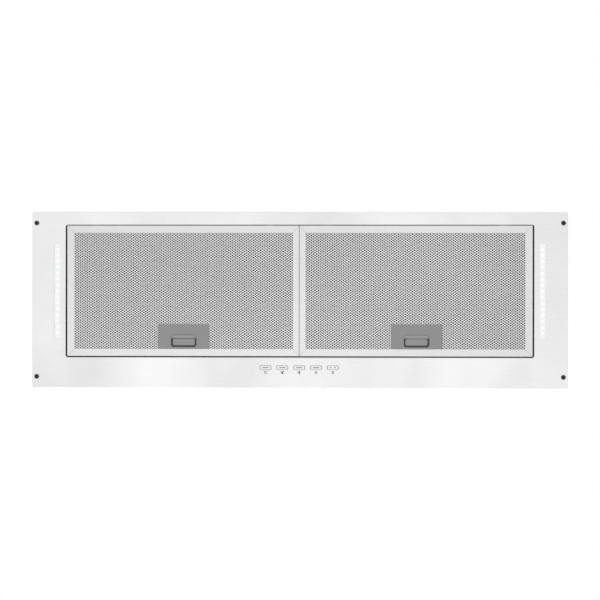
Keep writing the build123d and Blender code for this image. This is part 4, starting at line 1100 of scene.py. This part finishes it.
@dataclass
class FilterDressing:
    """A grease filter with real perforated sheets, and its latch."""

    side: Side
    x: float = 187.0 * MM
    y: float = 14.475 * MM
    length: float = 373.7 * MM
    depth: float = 210.15 * MM
    window_shift: float = -1.0 * MM
    window_y: float = 14.325 * MM
    window_length: float = 351.3 * MM
    window_depth: float = 186.65 * MM
    sheet_length: float = 371.3 * MM
    sheet_depth: float = 207.75 * MM
    thickness: float = 0.5 * MM
    hole_radius: float = 1.38 * MM
    pitch: float = 5.69 * MM
    row_pitch: float = 4.02 * MM
    rows: int = 48
    strips: int = 62
    notch_strips: int = 5
    window_overlap: float = 0.6 * MM
    notch_rear: float = -41.9 * MM
    notch_border: float = 0.15 * MM
    face: float = -6.0 * MM
    bend: float = 0.8 * MM
    groove: float = 0.3 * MM
    spring_wire: float = 0.25 * MM
    spring_turns: int = 5
    turn_steps: int = 24
    wire_sides: int = 8
    spring_pressed: float = 6.0 / 9.0

    def build(self, tree: PatternTree) -> None:
        """Dresses the filter and its latch, and punches its sheets.

        Args:
            tree: the perforation tree.
        """
        word = self.side.word
        dress(Finish.FRAME, f"filter_{word}_frame")
        dress(Finish.EXPANDED, f"filter_{word}_inner_mesh")
        dress(Finish.LATCH_PLATE, f"latch_plate_{word}")
        dress(Finish.LATCH_SLIDE, f"latch_slider_{word}")
        self.add_spring()
        notch = self.notch_strips
        for part, end in (("outer", self.side.value), ("inner", -self.side.value)):
            self.punch(tree, Sheet.FRONT, part, end, notch, self.strips // 2 - notch)
            self.punch(tree, Sheet.BACK, part, end, 0, self.strips // 2)
        self.punch(tree, Sheet.FRONT, "latch", 1, -notch, 2 * notch)
        self.add_joints()

    def add_spring(self) -> None:
        """Winds the latch's coil spring at one length; the real one shortens towards its post as the latch is drawn
        back.
        """
        word = self.side.word
        low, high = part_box(f"latch_spring_{word}")
        middle_x, middle_z = (low.x + high.x) / 2, (low.z + high.z) / 2
        wire = self.spring_wire
        coil = (high.z - low.z) / 2 - wire
        rise = high.y - low.y - 2 * wire
        steps = self.spring_turns * self.turn_steps
        sections = []
        for step in range(steps + 1):
            turn = 2 * math.pi * step / self.turn_steps
            angles = [2 * math.pi * corner / self.wire_sides for corner in range(self.wire_sides)]
            sections.append([(middle_x + (coil + wire * math.cos(angle)) * math.cos(turn),
                              low.y + wire * (1 + math.sin(angle)) + rise * step / steps,
                              middle_z + (coil + wire * math.cos(angle)) * math.sin(turn)) for angle in angles])
        shape = Shape()
        shape.loft(sections)
        piece = shape.piece(f"latch_coil_{word}", [Finish.SPRING], 60.0)
        settle(piece, f"filter_{word}", "spring_steel", f"latch_spring_{word}")
        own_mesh(piece)

    def add_joints(self) -> None:
        """Fills the grooves of the four mitred corners with a dark line: painted shade for the shadow that falls in
        each groove.
        """
        shape, side = Shape(), self.side.value
        middle = Vector((side * self.x, self.y))
        window = Vector((side * (self.x + self.window_shift), self.window_y))
        for end_x, end_y in ((-1, -1), (-1, 1), (1, -1), (1, 1)):
            corner = middle + Vector((end_x * self.length, end_y * self.depth)) / 2
            inner = window + Vector((end_x * self.window_length, end_y * self.window_depth)) / 2
            along = (inner - corner).normalized()
            across = Vector((-along.y, along.x)) * self.groove / 2
            start = corner + along * (math.sqrt(2) * self.bend + self.groove)
            outline = [tuple(point) for point in (start - across, inner - across, inner + across, start + across)]
            shape.prism(outline, (self.face - self.groove / 10, self.face + self.groove / 2))
        word = self.side.word
        settle(shape.piece(f"frame_joints_{word}", [Finish.JOINT]), f"filter_{word}", "frame_aluminium")

    def punch(self, tree: PatternTree, sheet: Sheet, part: str, end: int, first: int, strips: int) -> None:
        """Makes one part of a perforated sheet and lets it stand for its node.

        Args:
            tree: the perforation tree.
            sheet: which of the two sheets it is.
            part: outer, inner, or latch for the part that ends behind the latch; the others run over
                the whole depth and end in the sheet's plain margin.
            end: 1 where the strips go on towards +X, -1 towards -X.
            first: how many strips lie between the middle line and the first one.
            strips: the number of strips.
        """
        side, has_margin, half = self.side.value, part != "latch", self.pitch / 2
        seam = side * (self.x + self.window_shift)
        border = seam + end * (first + strips) * self.pitch
        far = side * self.x + end * self.sheet_length / 2
        rear = self.y + self.sheet_depth / 2
        reach = self.window_depth / 2 + self.window_overlap
        front, low = self.notch_rear, self.notch_rear + self.hole_radius + self.notch_border
        if has_margin:
            front, low = self.y - self.sheet_depth / 2, self.window_y - reach
        name = f"{sheet.name.lower()}_perforation_{self.side.word}_{part}"
        outline = bpy.data.meshes.new(f"{name}_outline")
        outline.from_pydata([(-half, front, 0.0), (half, front, 0.0), (half, rear, 0.0), (-half, rear, 0.0)],
                            [(0, 1), (1, 2), (2, 3), (3, 0)], [])
        piece = tree.grow(name, outline, {
            "Rows": self.rows,
            "Pitch": self.pitch,
            "Row Pitch": self.row_pitch,
            "Hole Radius": self.hole_radius,
            "Hole Sides": sheet.value.hole_sides,
            "Field Middle": self.window_y,
            "Field Low": low,
            "Field High": self.window_y + reach,
            "Strips": strips,
            "First Strip": seam + end * (first * self.pitch + half),
            "Step": end * self.pitch,
            "Margin Middle": ((far + border) / 2, (front + rear) / 2, 0.0),
            "Margin Length": abs(far - border),
            "Margin Depth": rear - front,
            "Has Margin": has_margin,
            "Thickness": self.thickness,
            "Level": sheet.value.level,
        })
        body = f"filter_{self.side.word}"
        settle(piece, body, "mesh_aluminium", f"{body}_{sheet.value.node}")


@dataclass
class CasingDressing:
    """The sheet metal casing, the motor box and the screws that hold them."""

    lid: float = 85.0 * MM
    box_lid: float = 230.0 * MM
    case_screw_x: tuple[float, ...] = (380.0 * MM, 240.0 * MM)
    case_screw_y: float = 125.75 * MM
    box_screw_x: float = 159.0 * MM
    box_screw_y: float = 60.75 * MM
    collar_seat: float = 232.5 * MM
    collar_screw_radius: float = 79.75 * MM
    outlet_y: float = 32.2057 * MM
    bracket_face: float = 59.0 * MM
    bracket_screw_radius: float = 61.0 * MM
    blower: Flat = (-25.0 * MM, 122.0 * MM)

    def build(self) -> None:
        """Dresses the panels and sets out their screws."""
        walls = ("front", "rear", "left", "right", "top")
        panels = [f"{box}_{wall}" for box in ("casing", "motor_box") for wall in walls]
        dress(Finish.ZINC, *panels, "scroll_wrap", "scroll_cheek_left", "scroll_cheek_right")
        ends = (-1, 1)
        places = [(end * x, row * self.case_screw_y, self.lid)
                  for x in self.case_screw_x for end in ends for row in ends]
        places += [(end * self.box_screw_x, row * self.box_screw_y, self.box_lid) for end in ends for row in ends]
        for turn in map(math.radians, (45.0, 135.0, 225.0, 315.0)):
            places.append((self.collar_screw_radius * math.cos(turn),
                           self.outlet_y + self.collar_screw_radius * math.sin(turn), self.collar_seat))
        facings = [UP] * len(places)
        for turn in map(math.radians, (90.0, 210.0, 330.0)):
            places.append((self.bracket_face, self.blower[0] + self.bracket_screw_radius * math.cos(turn),
                           self.blower[1] + self.bracket_screw_radius * math.sin(turn)))
            facings.append((1.0, 0.0, 0.0))
        screw = CrossHeadScrew(3.6 * MM, 2.2 * MM, 1.8 * MM, 8.0 * MM, 1.8 * MM, 0.8 * MM)
        Fasteners("casing_screws", "zinc_screw", Finish.ZINC_SCREW, screw, places, facings).build()


class InnerDressing:
    """The blower, the motor, the electrics and the outlet."""

    FINISHES = {
        Finish.BLACK_PLASTIC: ("blower_wheel", "cable_gland", "outlet_collar"),
        Finish.SHAFT: ("motor_shaft", "damper_rod"),
        Finish.CAN: ("motor",),
        Finish.BRACKET: ("motor_bracket",),
        Finish.CASE_WHITE: ("run_capacitor", "led_driver", "terminal_block"),
        Finish.DARK_PLASTIC: ("control_box", "control_box_cover", "damper_flap_front", "damper_flap_rear"),
        Finish.BOARD: ("control_board",),
    }

    def build(self) -> None:
        """Dresses each node."""
        for finish, nodes in self.FINISHES.items():
            dress(finish, *nodes)


# ------------------------------------------------------------------ studio and camera


@dataclass
class Studio:
    """A plain white room: pale floor, soft lamps and a white background."""

    floor_level: float = -2.45
    floor_half: float = 9.0
    ambient: float = 0.66

    def build(self) -> None:
        """Adds the floor, the world and the lamps."""
        half, level = self.floor_half, self.floor_level
        mesh = bpy.data.meshes.new("studio_floor")
        corners = [(-half, -half, level), (half, -half, level), (half, half, level), (-half, half, level)]
        mesh.from_pydata(corners, [], [(0, 1, 2, 3)])
        mesh.materials.append(Finish.FLOOR.material())
        placed("studio_floor", mesh)
        self.add_world()
        self.add_lamp("soft_lamp_below", (0.03, -0.3, -2.35), (0.0, -0.1, 0.0), (2.3, 2.0), 5.4)
        self.add_lamp("soft_lamp_front", (0.4, -2.6, 1.4), (0.0, 0.0, 0.1), (2.2, 1.6), 24.0)
        self.add_lamp("soft_lamp_above", (-0.9, 1.2, 2.6), (0.0, 0.0, 0.1), (2.4, 2.4), 31.0)
        LOG.info("studio: floor at %.2f m, three soft lamps", self.floor_level)

    def add_world(self) -> None:
        """White for camera, glossy and transmitted rays, and a softer white as light."""
        world = bpy.data.worlds.new("studio_world")
        world.use_nodes = True
        tree = NodeTree(world.node_tree)
        path = tree.node("ShaderNodeLightPath").outputs
        share = path["Is Camera Ray"]
        for name in ("Is Glossy Ray", "Is Transmission Ray"):
            share = tree.maths("MAXIMUM", share, path[name])
        light = tree.node("ShaderNodeBackground", Color=WHITE, Strength=self.ambient)
        plain = tree.node("ShaderNodeBackground", Color=WHITE)
        mix = tree.node("ShaderNodeMixShader")
        for target, value in zip(mix.inputs, (share, light.outputs[0], plain.outputs[0])):
            tree.fill(target, value)
        tree.node("ShaderNodeOutputWorld", Surface=mix.outputs[0])
        bpy.context.scene.world = world

    def add_lamp(self, name: str, place: Point, aim: Point, size: Flat, watts: float) -> None:
        """Adds a soft rectangular lamp.

        Args:
            name: the lamp's name.
            place: where it stands.
            aim: the point that it faces.
            size: its length and width.
            watts: its power.
        """
        data = bpy.data.lights.new(name, "AREA")
        data.shape = "RECTANGLE"
        data.size, data.size_y = size
        data.energy = watts
        lamp = placed(name, data)
        lamp.location = place
        lamp.rotation_euler = (Vector(aim) - Vector(place)).to_track_quat("-Z", "Y").to_euler()


@dataclass
class PhotoCamera:
    """The camera of the photograph: straight below the hood, looking up."""

    distance: float = 2.2
    frame_width: float = 963.2 * MM
    aim: Point = (-1.2 * MM, -0.1 * MM, -6.0 * MM)
    yaw: float = 1.0
    roll: float = 0.066
    sensor: float = 36.0

    def build(self) -> None:
        """Adds the camera and makes it the scene's."""
        turn = math.radians(self.yaw)
        away, up = Vector((-math.sin(turn), 0.0, -math.cos(turn))), Vector((0.0, 1.0, 0.0))
        basis = Matrix((up.cross(away), up, away)).transposed() @ Matrix.Rotation(math.radians(self.roll), 3, "Z")
        data = bpy.data.cameras.new("photo_camera")
        data.sensor_width = self.sensor
        data.lens = self.sensor * self.distance / self.frame_width
        camera = placed("photo_camera", data)
        camera.matrix_world = Matrix.Translation(Vector(self.aim) + away * self.distance) @ basis.to_4x4()
        bpy.context.scene.camera = camera
        LOG.info("camera %.2f m below the face plate", self.distance)


def main() -> None:
    """Loads the frame and builds the hood's looks around it."""
    logging.basicConfig(level=logging.INFO, format="%(name)s: %(message)s")
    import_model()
    bpy.context.scene.view_settings.view_transform = "Standard"
    PhotoCamera().build()
    Studio().build()
    FaceDressing().build()
    ButtonDressing().build()
    rows, punching = row_tree(), perforation_tree()
    for side in Side:
        LampDressing(side).build(rows)
        FilterDressing(side).build(punching)
    CasingDressing().build()
    InnerDressing().build()


if __name__ == "__main__":
    main()
